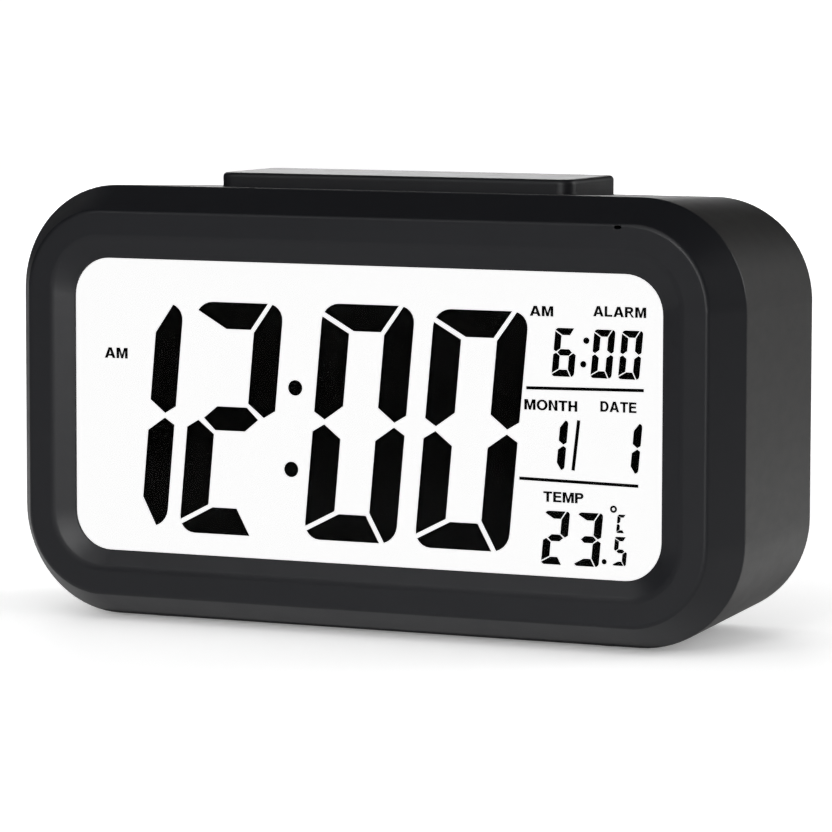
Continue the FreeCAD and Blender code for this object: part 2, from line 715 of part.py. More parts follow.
def key_board_pieces():
    """Key board with its leg for the slide switch, the slide switch and the temperature sensor."""
    pieces = {}
    reach = max(key_x(len(key_names) - 1) + switch_size[0], side_middle - 1.5)
    strip = box((-reach, reach), (key_board_front, key_board_rear), (bay_top + 0.4, key_z + 6.5))
    leg_x = (-side_middle - 8, -side_middle + 8)
    leg = box(leg_x, (key_board_front, key_board_rear), (switch_z - 5, bay_top + 1))
    board = joined([strip, leg])
    for x, z in key_standoffs:
        board = board.cut(rod(small_shank[0] + 0.2, (x, key_board_front - 1, z), 4, Y_AXIS))
    pieces["key_board"] = board
    long, high, deep = slider_body
    body = box((-side_middle - long / 2, -side_middle + long / 2), (key_board_rear, key_board_rear + deep),
               (switch_z - high / 2, switch_z + high / 2))
    slot = slider_knob[0] + slider_travel + 2 * slider_clearance
    knob_high = slider_knob[1] / 2
    channel = (switch_z - knob_high - slider_clearance, switch_z + knob_high + slider_clearance)
    root = key_board_rear + deep - 2.0
    body = body.cut(box((-side_middle - slot / 2, -side_middle + slot / 2), (root - 0.2, root + 5), channel))
    pieces["slide_switch_body"] = body
    left = -side_middle - slot / 2 + slider_clearance
    tip = case_depth + slider_proud
    knob = box((left, left + slider_knob[0]), (root, tip), (switch_z - knob_high, switch_z + knob_high))
    for i in (1, 2):
        groove = left + slider_knob[0] * i / 3
        knob = knob.cut(box((groove - 0.2, groove + 0.2), (tip - 0.4, tip + 1), (switch_z - 3, switch_z + 3)))
    pieces["slide_switch_knob"] = knob
    low = switch_z - 5
    bead = Part.makeSphere(1.2, V(-side_middle, key_board_rear + 0.9, low - 5))
    legs = [rod(0.25, (-side_middle + side * 0.6, key_board_rear + 0.25, low - 4.4), 5.4, Z_AXIS)
            for side in (-1, 1)]
    pieces["thermistor"] = joined([bead] + legs)
    middle = key_z - 2
    ends = []
    for front, rear in ((board_rear, board_rear + 4), (key_board_front - 4, key_board_front)):
        ends.append(box((-17, -3), (front, rear), (middle - 2, middle + 2)))
    pieces["ribbon_connectors"] = group(ends)
    pieces["ribbon_cable"] = ribbon(board_rear + 4, key_board_front - 4, middle)
    return pieces


def ribbon(front, rear, level):
    """Flat cable that sags between its two connectors."""
    half = 0.35
    sag = 4.0
    middle = (front + rear) / 2

    def curve(offset):
        return Part.Arc(V(-16, front, level + offset), V(-16, middle, level - sag + offset),
                        V(-16, rear, level + offset)).toShape()

    ends = [Part.LineSegment(V(-16, y, level - half), V(-16, y, level + half)).toShape()
            for y in (front, rear)]
    face = Part.Face(Part.Wire(Part.__sortEdges__([curve(half), curve(-half)] + ends)))
    return face.extrude(V(12, 0, 0))


# ---------------------------------------------------------------- battery pieces
def row_z(i):
    """Height of the middle of a cell, counted from the bottom."""
    return bay_middle + (i - (cell_count - 1) / 2) * cell_pitch


def cell(z, turned):
    """One cell lying along X, its button end to the right unless turned."""
    left = -bay_half_length + plate_thickness + contact_spring + 0.1
    can = rod(cell_radius, (left, cell_depth, z), cell_length - cell_nub[1], X_AXIS)
    can = can.makeFillet(0.5, [edge for edge in can.Edges if len(edge.Vertexes) == 1])
    body = joined([can, rod(cell_nub[0], (left, cell_depth, z), cell_length, X_AXIS)])
    if turned:
        body.rotate(V(0, cell_depth, z), Z_AXIS, 180)
    return body


def battery_pieces():
    """Cells, contact plates, contact springs and their leads."""
    pieces = {}
    springs = []
    for i in range(cell_count):
        side = -1 if i % 2 == 0 else 1
        spring = coil(3.2, spring_wire, contact_spring, 4)
        spring.rotate(V(0, 0, 0), Y_AXIS, 90 if side < 0 else -90)
        start = side * (bay_half_length - plate_thickness - 0.04)
        springs.append(spring.translated(V(start, cell_depth, row_z(i))))
    pieces["cells"] = group([cell(row_z(i), i % 2 == 1) for i in range(cell_count)])
    pieces["battery_springs"] = group(springs)
    plates = []
    spans = ((-1, 0, 1), (-1, 2, 2), (1, 0, 0), (1, 1, 2))
    for side, first, last in spans:
        outer = side * bay_half_length
        across = sorted((outer, outer - side * plate_thickness))
        deep = (cell_depth - 4.5, cell_depth + 4.5)
        plates.append(box(across, deep, (row_z(first) - 4.6, row_z(last) + 4.6)))
    pieces["contact_plates"] = group(plates)
    leads = []
    for side in (-1, 1):
        wall_x = side * (bay_half_length + bay_wall)
        out_x = wall_x + side * 6
        z = row_z(1) - side * 8
        route = ((wall_x, cell_depth, z), (out_x, cell_depth, z), (out_x, board_rear, z))
        leads.append(lead(route, wire_radius))
    pieces["battery_leads"] = group(leads)
    return pieces


def door_pieces():
    """Battery door with two tongues, a latch tab and grip grooves, and its foam pad."""
    low = hinge_z + door_clearance
    high = bay_middle + door_half_height - door_clearance
    side = door_half_length - door_clearance
    form = box((-side, side), (door_inside, case_depth), (low, high))
    wide, thick, reach = door_tongue
    tongue_rear = back_inside - 0.25
    for sx in (-1, 1):
        middle = sx * tongue_pitch / 2
        across = (middle - wide / 2, middle + wide / 2)
        form = form.fuse(box(across, (tongue_rear - thick, door_inside + 0.2), (low, low + 1.2)))
        form = form.fuse(box(across, (tongue_rear - thick, tongue_rear), (hinge_z - reach, low + 1.2)))
    half = latch_size[0] / 2
    tab_y = (case_depth - 1.2, case_depth - 0.2)
    form = form.fuse(box((-half, half), tab_y, (high - 0.5, high + latch_size[1])))
    for i in range(4):
        groove = high - 4 - 1.8 * i
        groove_y = (case_depth - 0.4, case_depth + 1)
        form = form.cut(box((-7 + i, 7 - i), groove_y, (groove - 0.4, groove + 0.4)))
    pad = box((-6, 6), (foam_front, door_inside), (bay_middle - 15, bay_middle + 15))
    return {"battery_door": form.removeSplitter(), "door_foam": pad}


# ---------------------------------------------------------------- buzzer, screws and feet
def buzzer_pieces():
    """Buzzer cup on the back wall, its sounding disc with ceramic layer, and its leads."""
    pieces = {}
    front = back_inside - buzzer_height
    spot = (side_middle, front, buzzer_z)
    cup = rod(buzzer_radius, spot, buzzer_height, Y_AXIS)
    ledge = front + 2.3
    floor = (side_middle, front + buzzer_wall, buzzer_z)
    cup = cup.cut(rod(buzzer_disc[0] - 1, floor, buzzer_height, Y_AXIS))
    cup = cup.cut(rod(buzzer_disc[0] + 0.1, (side_middle, ledge, buzzer_z), buzzer_height, Y_AXIS))
    pieces["buzzer_cup"] = cup
    pieces["buzzer_disc"] = rod(buzzer_disc[0], (side_middle, ledge, buzzer_z), buzzer_disc[1], Y_AXIS)
    pieces["buzzer_ceramic"] = rod(7.5, (side_middle, ledge - 0.2, buzzer_z), 0.2, Y_AXIS)
    leads = []
    for z in (-0.9, 0.9):
        x = side_middle
        level = buzzer_z + z
        route = ((x, front, level), (x, front - 8, level), (x - 6, front - 15, level),
                 (x - 6, board_rear, level))
        leads.append(lead(route, wire_radius))
    pieces["buzzer_leads"] = group(leads)
    return pieces


def fasteners():
    """Four case screws and the identical small screws inside."""
    back = V(0, -1, 0)
    case = []
    small = []
    for sx in (-1, 1):
        for sz in (-1, 1):
            case.append(screw(screw_head, screw_shank, post_seat - lens_back - 1.5,
                              (sx * post_x, post_seat, sz * post_z), back))
            small.append(screw(small_head, small_shank[0], small_shank[1],
                               (sx * board_screw_x, board_rear, sz * board_screw_z), back))
            small.append(screw(small_head, small_shank[0], small_shank[1],
                               (sx * ear_x, holder_rear, sz * post_z), back))
    for x, z in key_standoffs:
        small.append(screw(small_head, small_shank[0], small_shank[1], (x, key_board_front, z), Y_AXIS))
    for sx in (-1, 1):
        small.append(screw(small_head, small_shank[0], small_shank[1],
                           (sx * hanger_pitch / 2, bar_depth, bridge_bottom), Z_AXIS))
    return {"case_screws": group(case), "small_screws": group(small)}


def feet():
    """Four rubber pads that level the sloping underside."""
    pads = []
    form = outside_case()
    for depth in foot_depths:
        for sx in (-1, 1):
            pad = rod(foot_radius, (sx * foot_spacing / 2, depth, -half_height - foot_height),
                      foot_height + rear_draft, Z_AXIS)
            pads.append(pad.cut(form).Solids[0])
    return {"rubber_feet": group(pads)}


def build():
    """Every piece, by its node's name."""
    pieces = {"front_bezel": front_bezel(), "rear_case": rear_case(), "lcd_holder": lcd_holder()}
    makers = (display_pieces, main_board_pieces, light_sensor_pieces, snooze_pieces, key_pieces,
              key_board_pieces, battery_pieces, door_pieces, buzzer_pieces, fasteners, feet)
    for maker in makers:
        pieces.update(maker())
    return pieces


os.makedirs("parts", exist_ok=True)
to_base = V(0, -total_depth / 2, case_middle_height)
for name, shape in build().items():
    if not shape.isValid():
        print("not a valid shape:", name)
    shape.translated(to_base).exportStep("parts/" + name + ".step")
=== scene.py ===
"""Looks of a digital alarm clock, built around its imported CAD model.

The case, keys, boards and cells are CAD nodes that get their finishes here. The display's
characters, the printed legends, the springs and the foam pad are built in this file.
All lengths are in metres, in the frame of the CAD model.
"""

from __future__ import annotations

import json
import logging
import math
from dataclasses import dataclass
from enum import Enum
from typing import Iterable, Sequence

import bmesh
import bpy
from bpy.types import Material, Mesh, Node, Object
from bpy.types import NodeSocket as Socket
from mathutils import Matrix, Vector


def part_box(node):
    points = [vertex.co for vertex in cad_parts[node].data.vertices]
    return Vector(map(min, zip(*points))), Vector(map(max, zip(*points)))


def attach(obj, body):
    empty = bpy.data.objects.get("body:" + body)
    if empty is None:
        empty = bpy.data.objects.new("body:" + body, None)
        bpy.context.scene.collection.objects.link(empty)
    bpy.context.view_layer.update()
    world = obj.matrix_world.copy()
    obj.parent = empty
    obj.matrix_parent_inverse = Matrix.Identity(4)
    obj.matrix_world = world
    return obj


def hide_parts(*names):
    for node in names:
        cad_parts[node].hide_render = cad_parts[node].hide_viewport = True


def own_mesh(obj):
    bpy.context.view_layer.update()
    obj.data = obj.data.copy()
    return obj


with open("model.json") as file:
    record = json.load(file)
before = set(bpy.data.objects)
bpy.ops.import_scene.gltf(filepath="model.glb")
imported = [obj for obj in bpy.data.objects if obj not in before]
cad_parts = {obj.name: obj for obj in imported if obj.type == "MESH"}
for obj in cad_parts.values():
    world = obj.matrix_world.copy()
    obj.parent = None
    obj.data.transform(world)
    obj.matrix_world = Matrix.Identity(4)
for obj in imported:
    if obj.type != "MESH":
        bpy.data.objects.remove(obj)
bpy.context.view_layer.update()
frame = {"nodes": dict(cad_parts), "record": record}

MM = 0.001
SAME_PLACE = 0.0004 * MM    # corners nearer than this are one corner
Point = tuple[float, float]
Outline = list[Point]
Materials = dict[str, Material]
Colour = tuple[float, float, float, float]
log = logging.getLogger("clock")


# ------------------------------------------------------------------ shader drawing
class NodeDrawing:
    """Adds nodes to one tree and joins them."""

    tree: bpy.types.NodeTree

    def node(self, kind: str, values: dict | None = None, **settings: object) -> Node:
        """Adds a node.

        Args:
            kind: the node's class name.
            values: plain values or output sockets, by input name or number.
            settings: the node's own properties.

        Returns:
            The new node.
        """
        made = self.tree.nodes.new(kind)
        for key, value in settings.items():
            setattr(made, key, value)
        for key, value in (values or {}).items():
            if isinstance(value, Socket):
                self.tree.links.new(value, made.inputs[key])
            else:
                made.inputs[key].default_value = value
        return made


class Pen(NodeDrawing):
    """Draws one material."""

    def __init__(self, name: str) -> None:
        """Starts a material with an empty node tree.

        Args:
            name: the material's name.
        """
        self.material = bpy.data.materials.new(name)
        self.material.use_nodes = True
        self.tree = self.material.node_tree
        self.tree.nodes.clear()
        self.output = self.tree.nodes.new("ShaderNodeOutputMaterial")

    def place(self, stretch: tuple[float, float, float] = (1, 1, 1)) -> Socket:
        """The point on the piece in metres, with each axis multiplied by stretch."""
        coords = self.node("ShaderNodeTexCoord").outputs["Object"]
        if stretch == (1, 1, 1):
            return coords
        return self.node("ShaderNodeMapping", {"Vector": coords, "Scale": stretch}).outputs[0]

    def axis(self, name: str) -> Socket:
        """One coordinate of the point on the piece, in metres."""
        return self.node("ShaderNodeSeparateXYZ", {0: self.place()}).outputs[name]

    def noise(self, scale: float, detail: float = 2.0, stretch: tuple = (1, 1, 1)) -> Socket:
        """Smooth noise between 0 and 1, with this many lumps to a metre."""
        values = {"Vector": self.place(stretch), "Scale": scale, "Detail": detail}
        return self.node("ShaderNodeTexNoise", values).outputs[0]

    def math(self, operation: str, *values: object) -> Socket:
        """One sum on numbers or sockets."""
        return self.node("ShaderNodeMath", dict(enumerate(values)), operation=operation).outputs[0]

    def spread(self, value: Socket, low: float, high: float,
               start: float = 0.3, stop: float = 0.7) -> Socket:
        """Maps start..stop of a value to low..high."""
        values = {0: value, 1: start, 2: stop, 3: low, 4: high}
        return self.node("ShaderNodeMapRange", values).outputs[0]

    def step(self, value: Socket, edge: float) -> Socket:
        """1 where the value is above the edge, otherwise 0."""
        return self.math("GREATER_THAN", value, edge)

    def mix(self, share: Socket, first: object, second: object) -> Socket:
        """Colour between two colours."""
        values = {0: share, 6: first, 7: second}
        return self.node("ShaderNodeMix", values, data_type="RGBA").outputs[2]

    def bump(self, height: Socket, distance: float, strength: float = 1.0,
             normal: Socket | None = None) -> Socket:
        """Surface normal tilted by a height pattern, whose full height is distance in metres."""
        values = {"Height": height, "Distance": distance, "Strength": strength}
        if normal is not None:
            values["Normal"] = normal
        return self.node("ShaderNodeBump", values).outputs[0]

    def principled(self, **values: object) -> Material:
        """Finishes the material with one main shader, whose inputs have _ for spaces."""
        named = {key.replace("_", " "): value for key, value in values.items()}
        shader = self.node("ShaderNodeBsdfPrincipled", named)
        return self.surface(shader)

    def surface(self, shader: Node) -> Material:
        """Finishes the material with this shader."""
        self.tree.links.new(shader.outputs[0], self.output.inputs[0])
        return self.material


def grey(level: float, warmth: float = 0.0) -> Colour:
    """Neutral colour in linear light, warmer above 0 and cooler below."""
    return (level * (1 + warmth), level, level * (1 - warmth), 1.0)


def shade(colour: Colour, factor: float, lift: float = 0.0) -> Colour:
    """The colour made darker or lighter by a factor, with a little white added."""
    return tuple(min(1.0, factor * c + lift) for c in colour[:3]) + (1.0,)


# ------------------------------------------------------------------ finishes
@dataclass(frozen=True)
class Finish:
    """A kind of surface."""

    name: str

    def make(self) -> Material:
        """Returns the finished material."""
        return self.draw(Pen(self.name))

    def draw(self, pen: Pen) -> Material:
        """Draws the surface's nodes.

        Args:
            pen: the pen of the new material.

        Returns:
            The finished material.
        """
        raise NotImplementedError


@dataclass(frozen=True)
class MouldedPlastic(Finish):
    """Injection-moulded plastic with a spark-eroded grain."""

    colour: Colour
    roughness: float = 0.5
    grain: float = 3200.0
    grain_height: float = 0.000012
    shine: float = 0.35
    edge_round: float = 0.0

    def draw(self, pen: Pen) -> Material:
        cloud = pen.noise(38, 3)
        colour = pen.mix(pen.spread(cloud, 0, 1), shade(self.colour, 0.96), shade(self.colour, 1.04))
        rub = pen.noise(210, 4, (1, 1, 2.2))
        rough = pen.spread(rub, self.roughness - 0.02, self.roughness + 0.02)
        rounded = None
        if self.edge_round:
            rounded = pen.node("ShaderNodeBevel", {"Radius": self.edge_round}, samples=4).outputs[0]
        normal = pen.bump(pen.noise(self.grain, 2), self.grain_height, 1.0, rounded)
        return pen.principled(Base_Color=colour, Roughness=rough, Normal=normal,
                              Specular_IOR_Level=self.shine)


@dataclass(frozen=True)
class PlatedMetal(Finish):
    """Bare or plated metal with fine drawing marks and dull patches."""

    colour: Colour
    roughness: float = 0.3
    marks: tuple[float, float, float] = (1, 1, 1)

    def draw(self, pen: Pen) -> Material:
        colour = pen.mix(pen.spread(pen.noise(420, 4), 0, 1), shade(self.colour, 0.72), self.colour)
        rough = pen.spread(pen.noise(900, 3, self.marks), self.roughness - 0.1, self.roughness + 0.12)
        normal = pen.bump(pen.noise(2600, 2, self.marks), 0.000006)
        return pen.principled(Base_Color=colour, Metallic=1.0, Roughness=rough, Normal=normal)


@dataclass(frozen=True)
class ClearSheet(Finish):
    """Clear pane: light passes straight through, with a faint reflection and dust."""

    tint: Colour
    gloss: float = 0.05
    ior: float = 1.02

    def draw(self, pen: Pen) -> Material:
        clear = pen.node("ShaderNodeBsdfTransparent", {"Color": self.tint})
        rough = pen.spread(pen.noise(60, 3), self.gloss, self.gloss + 0.05)
        normal = pen.bump(pen.noise(45, 1), 0.00001)
        shiny = pen.node("ShaderNodeBsdfGlossy", {"Roughness": rough, "Normal": normal,
                                                  "Color": (1, 1, 1, 1)})
        edge = pen.node("ShaderNodeFresnel", {"IOR": self.ior}).outputs[0]
        share = pen.math("MULTIPLY", edge, pen.spread(pen.noise(150, 5), 0.9, 1.1))
        both = pen.node("ShaderNodeMixShader", {0: share})
        pen.tree.links.new(clear.outputs[0], both.inputs[1])
        pen.tree.links.new(shiny.outputs[0], both.inputs[2])
        return pen.surface(both)


@dataclass(frozen=True)
class PaintedGlowPaper(Finish):
    """White reflector film with an even painted glow that stands in for the light falling on it, with a faint
    cloudiness.
    """

    painted_glow: float = 0.99

    def draw(self, pen: Pen) -> Material:
        colour = pen.mix(pen.spread(pen.noise(25, 2), 0, 1), grey(0.80), grey(0.84))
        rough = pen.spread(pen.noise(800, 2), 0.6, 0.75)
        # The emission is a painted glow that makes the film evenly white; no lamp lights it.
        return pen.principled(Base_Color=colour, Roughness=rough, Emission_Color=grey(1.0),
                              Emission_Strength=self.painted_glow)


@dataclass(frozen=True)
class Striped(Finish):
    """Two finishes that take turns along one axis, such as conductive layers or flat-cable cores."""

    first: Colour
    second: Colour
    axis: str
    pitch: float
    roughness: float = 0.5

    def draw(self, pen: Pen) -> Material:
        turn = pen.math("FRACT", pen.math("DIVIDE", pen.axis(self.axis), self.pitch))
        share = pen.step(turn, 0.5)
        colour = pen.mix(share, self.first, self.second)
        rough = pen.spread(pen.noise(500, 3), self.roughness - 0.06, self.roughness + 0.06)
        return pen.principled(Base_Color=colour, Roughness=rough, Normal=pen.bump(share, 0.00003))


@dataclass(frozen=True)
class Banded(Finish):
    """Different finishes along one axis, changing at given places, such as a sleeved can."""

    axis: str
    colours: tuple[Colour, ...]
    edges: tuple[float, ...]
    metal: tuple[bool, ...]
    roughness: float = 0.35

    def draw(self, pen: Pen) -> Material:
        along = pen.axis(self.axis)
        colour: object = self.colours[0]
        metal: object = float(self.metal[0])
        for edge, tint, bare in zip(self.edges, self.colours[1:], self.metal[1:]):
            share = pen.step(along, edge)
            colour = pen.mix(share, colour, tint)
            metal = pen.node("ShaderNodeMix", {0: share, 2: metal, 3: float(bare)}).outputs[0]
        worn = pen.mix(pen.spread(pen.noise(600, 4), 0.0, 0.16), colour, grey(0.3))
        rough = pen.spread(pen.noise(450, 3), self.roughness - 0.08, self.roughness + 0.1)
        return pen.principled(Base_Color=worn, Metallic=metal, Roughness=rough,
                              Normal=pen.bump(pen.noise(1500, 2), 0.000008))


@dataclass(frozen=True)
class CircuitBoard(Finish):
    """Solder-masked board: tracks show through the mask as slightly raised lighter lines."""

    mask: Colour = (0.012, 0.10, 0.035, 1)
    track: Colour = (0.03, 0.19, 0.06, 1)

    def draw(self, pen: Pen) -> Material:
        values = {"Vector": pen.place((1, 0.2, 1)), "Scale": 420.0, "Randomness": 0.85}
        cells = pen.node("ShaderNodeTexVoronoi", values, feature="F1", distance="MANHATTAN")
        line = pen.math("PINGPONG", cells.outputs["Distance"], 0.16)
        share = pen.spread(line, 0, 1, 0.07, 0.09)
        colour = pen.mix(share, self.mask, self.track)
        return pen.principled(Base_Color=colour, Roughness=0.32, Specular_IOR_Level=0.5,
                              Normal=pen.bump(share, 0.00003))


@dataclass(frozen=True)
class Foam(Finish):
    """Open-cell foam with visible pores, whose pits are darkened with painted shade."""

    colour: Colour

    def draw(self, pen: Pen) -> Material:
        values = {"Vector": pen.place(), "Scale": 1900.0}
        pores = pen.node("ShaderNodeTexVoronoi", values).outputs["Distance"]
        # Painted shade: the colour darkens towards the middle of each pore's pit.
        colour = pen.mix(pen.spread(pores, 0, 1, 0.1, 0.5), shade(self.colour, 0.35), self.colour)
        return pen.principled(Base_Color=colour, Roughness=0.95, Normal=pen.bump(pores, 0.00012),
                              Specular_IOR_Level=0.2)


@dataclass(frozen=True)
class Ink(Finish):
    """Flat ink or switched-on liquid crystal, with the slight unevenness of a print."""

    colour: Colour
    roughness: float = 0.6

    def draw(self, pen: Pen) -> Material:
        thin = shade(self.colour, 0.9, 0.001)
        colour = pen.mix(pen.spread(pen.noise(1400, 3), 0, 1), self.colour, thin)
        rough = pen.spread(pen.noise(900, 2), self.roughness - 0.08, self.roughness + 0.08)
        return pen.principled(Base_Color=colour, Roughness=rough, Specular_IOR_Level=0.15)


FINISHES = {
    "bezel": MouldedPlastic("bezel_black", (0.0112, 0.0116, 0.0142, 1), 0.38, 3600, 0.000010, 0.35, 0.0003),
    "case": MouldedPlastic("case_black", grey(0.0135, 0.06), 0.5, 3000, 0.000014, 0.35, 0.0002),
    "snooze_bar": MouldedPlastic("snooze_black", (0.0114, 0.0117, 0.0138, 1), 0.45, 3600, 0.000010, 0.35,
                                 0.0002),
    "key": MouldedPlastic("key_black", grey(0.012), 0.55, 4200, 0.000010, 0.4, 0.0002),
    "door": MouldedPlastic("door_black", grey(0.0145, 0.06), 0.52, 2800, 0.000014, 0.35, 0.0002),
    "holder": MouldedPlastic("holder_white", grey(0.72, 0.01), 0.45, 2400, 0.000006, 0.5),
    "inner_plastic": MouldedPlastic("bridge_plastic", grey(0.05), 0.45, 2400, 0.000008, 0.5),
    "switch_body": Banded("switch_body", "Y", (grey(0.03), grey(0.55)), (1.0,), (False, True)),
    "switch_stem": MouldedPlastic("stem_plastic", grey(0.6, 0.02), 0.4, 2400, 0.000005, 0.5),
    "connector": MouldedPlastic("connector_nylon", grey(0.62, 0.04), 0.4, 2600, 0.000006, 0.5),
    "foot_rubber": MouldedPlastic("foot_rubber", grey(0.03, 0.02), 0.82, 2600, 0.00002, 0.3),
    "lens": ClearSheet("lens_clear", grey(0.996), 0.06, 1.12),
    "polariser": ClearSheet("polariser_clear", grey(0.996), 0.12),
    "lcd_glass": ClearSheet("glass_clear", grey(0.998), 0.02),
    "reflector": PaintedGlowPaper("reflector_white"),
    "light_guide": MouldedPlastic("guide_acrylic", (0.78, 0.82, 0.82, 1), 0.2, 1800, 0.00001, 0.5),
    "board": CircuitBoard("board_green"),
    "led": Banded("led_body", "X", (grey(0.75), (0.8, 0.62, 0.08, 1)), (-0.0568,), (False, False)),
    "contact_rubber": Striped("layered_rubber", grey(0.015), grey(0.5, 0.03), "X", 0.0003, 0.7),
    "epoxy": MouldedPlastic("epoxy_black", grey(0.008), 0.22, 300, 0.00003, 0.6),
    "can_metal": PlatedMetal("can_nickel", (0.62, 0.6, 0.56, 1), 0.25, (1, 1, 0.2)),
    "capacitor": Banded("capacitor_sleeve", "Y", ((0.006, 0.01, 0.03, 1), grey(0.6)), (-0.0043,),
                        (False, True)),
    "chip": Striped("chip_body", grey(0.02), grey(0.6), "X", 0.0035, 0.4),
    "sensor": MouldedPlastic("sensor_epoxy", (0.03, 0.015, 0.012, 1), 0.12, 900, 0.00001, 0.6),
    "lead_bare": PlatedMetal("tinned_wire", (0.66, 0.65, 0.62, 1), 0.28),
    "spring_steel": PlatedMetal("spring_plate", (0.58, 0.56, 0.53, 1), 0.25),
    "contact_metal": PlatedMetal("contact_plate", (0.66, 0.63, 0.57, 1), 0.24, (1, 1, 0.15)),
    "screw_steel": PlatedMetal("screw_zinc", (0.5, 0.5, 0.52, 1), 0.3, (1, 0.3, 1)),
    "disc_brass": PlatedMetal("disc_brass", (0.72, 0.52, 0.2, 1), 0.25),
    "ceramic_layer": PlatedMetal("ceramic_silvered", (0.72, 0.71, 0.68, 1), 0.5),
    "lead_insulation": Banded("lead_cover", "X", (grey(0.012), (0.36, 0.01, 0.008, 1)), (0.0,),
                              (False, False), 0.4),
    "ribbon": Striped("ribbon_cores", grey(0.42), grey(0.5), "X", 0.001, 0.42),
    "foam": Foam("pad_foam", grey(0.09)),
}
EXTRA_FINISHES = {
    "crystal_ink": Ink("crystal_on", grey(0.0006), 0.5),
    "white_print": Ink("white_print", grey(0.55, 0.01), 0.55),
}


@dataclass(frozen=True)
class CellSleeve(Finish):
    """Printed sleeve of the cells: dark body, gold band towards the button end, bare metal ends."""

    middle_row: float
    row_pitch: float
    band_start: float
    can_end: float

    def draw(self, pen: Pen) -> Material:
        off_middle = pen.math("ABSOLUTE", pen.math("SUBTRACT", pen.axis("Z"), self.middle_row))
        outer_row = pen.step(off_middle, self.row_pitch / 2)
        sign = pen.math("SUBTRACT", pen.math("MULTIPLY", outer_row, 2.0), 1.0)
        along = pen.math("MULTIPLY", pen.axis("X"), sign)
        band = pen.step(along, self.band_start)
        bare = pen.step(pen.math("ABSOLUTE", pen.axis("X")), self.can_end)
        sleeve = pen.mix(band, (0.012, 0.014, 0.02, 1), (0.55, 0.33, 0.1, 1))
        colour = pen.mix(bare, sleeve, (0.6, 0.59, 0.57, 1))
        metal = pen.math("MAXIMUM", bare, pen.math("MULTIPLY", band, 0.7))
        rough = pen.spread(pen.noise(500, 3), 0.26, 0.32)
        return pen.principled(Base_Color=colour, Metallic=metal, Roughness=rough,
                              Normal=pen.bump(pen.noise(1200, 2), 0.0000015))


# ------------------------------------------------------------------ mesh drawing
def new_object(name: str, mesh: Mesh, material: Material) -> Object:
    """Adds a mesh, already in place, to the scene with one material."""
    mesh.materials.clear()
    mesh.materials.append(material)
    made = bpy.data.objects.new(name, mesh)
    mesh.name = name
    bpy.context.scene.collection.objects.link(made)
    return made


def add_piece(name: str, mesh: Mesh, material: Material, body: str, slot: str,
              *replaced: str) -> Object:
    """Adds a finished piece of the clock and reports it.

    Args:
        name: the piece's name.
        mesh: its mesh, already in place.
        material: its finish.
        body: the CAD body that carries it.
        slot: the record's material slot of its finish; not used.
        replaced: CAD nodes that it stands for.

    Returns:
        The new object.
    """
    piece = new_object(name, mesh, material)
    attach(piece, body)
    if replaced:
        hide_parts(*replaced)
    log.info("%s rides on %s with %d faces", piece.name, body, len(piece.data.polygons))
    return piece


def finished(shape: bmesh.types.BMesh, closed: bool = True) -> Mesh:
    """Ends a mesh under construction, with the faces of a closed one pointing outwards."""
    if closed:
        bmesh.ops.recalc_face_normals(shape, faces=shape.faces)
    mesh = bpy.data.meshes.new("shape")
    shape.to_mesh(mesh)
    shape.free()
    return mesh


def prisms(outlines: Iterable[Sequence[Point]], front: float, back: float) -> Mesh:
    """Thin upright plates with the given outlines.

    Args:
        outlines: convex outlines, each a list of (x, z), counter-clockwise from the front.
        front: y of the faces that look forwards.
        back: y of the faces behind them.

    Returns:
        One mesh with a closed plate for each outline.
    """
    shape = bmesh.new()
    for outline in outlines:
        near = [shape.verts.new((x, front, z)) for x, z in outline]
        far = [shape.verts.new((x, back, z)) for x, z in outline]
        shape.faces.new(near)
        shape.faces.new(far[::-1])
        for i in range(len(near)):
            j = (i + 1) % len(near)
            shape.faces.new((near[j], near[i], far[i], far[j]))
    return finished(shape)


def filled(loops: Sequence[Sequence[Point]], front: float, back: float) -> Mesh:
    """Thin upright plate with a curved or hollow outline.

    Args:
        loops: outlines and holes, each a list of (x, z); a loop inside another is a hole.
        front: y of the face that looks forwards.
        back: y of the face behind it.

    Returns:
        A closed mesh.
    """
    curve = bpy.data.curves.new("outline", "CURVE")
    curve.dimensions = "2D"
    curve.fill_mode = "BOTH"
    curve.extrude = (back - front) / 2
    for loop in loops:
        spline = curve.splines.new("POLY")
        spline.points.add(len(loop) - 1)
        for point, (x, z) in zip(spline.points, loop):
            point.co = (x, z, 0, 1)
        spline.use_cyclic_u = True
    mesh = solid_mesh(bpy.data.objects.new("outline", curve))
    mesh.transform(Matrix.Translation((0, (front + back) / 2, 0)) @ Matrix.Rotation(math.pi / 2, 4, "X"))
    return mesh


def solid_mesh(source: Object) -> Mesh:
    """Turns a curve or text object into a closed mesh, and removes the object.

    Args:
        source: an object with curve or text data, not yet in the scene.

    Returns:
        Its mesh with doubled corners merged and faces pointing outwards.
    """
    bpy.context.scene.collection.objects.link(source)
    bpy.context.view_layer.update()
    evaluated = source.evaluated_get(bpy.context.evaluated_depsgraph_get())
    mesh = bpy.data.meshes.new_from_object(evaluated)
    bpy.data.objects.remove(source)
    shape = bmesh.new()
    shape.from_mesh(mesh)
    bpy.data.meshes.remove(mesh)
    bmesh.ops.remove_doubles(shape, verts=shape.verts, dist=SAME_PLACE)
    return finished(shape)


def merged(meshes: Sequence[Mesh]) -> Mesh:
    """One mesh from several."""
    shape = bmesh.new()
    for mesh in meshes:
        shape.from_mesh(mesh)
        bpy.data.meshes.remove(mesh)
    return finished(shape, closed=False)


def arc(middle: Point, radii: Point, start: float, stop: float, steps: int = 12) -> Outline:
    """Points along part of an ellipse, from one angle to another, in degrees."""
    points = []
    for i in range(steps + 1):
        turn = math.radians(start + (stop - start) * i / steps)
        points.append((middle[0] + radii[0] * math.cos(turn), middle[1] + radii[1] * math.sin(turn)))
    return points


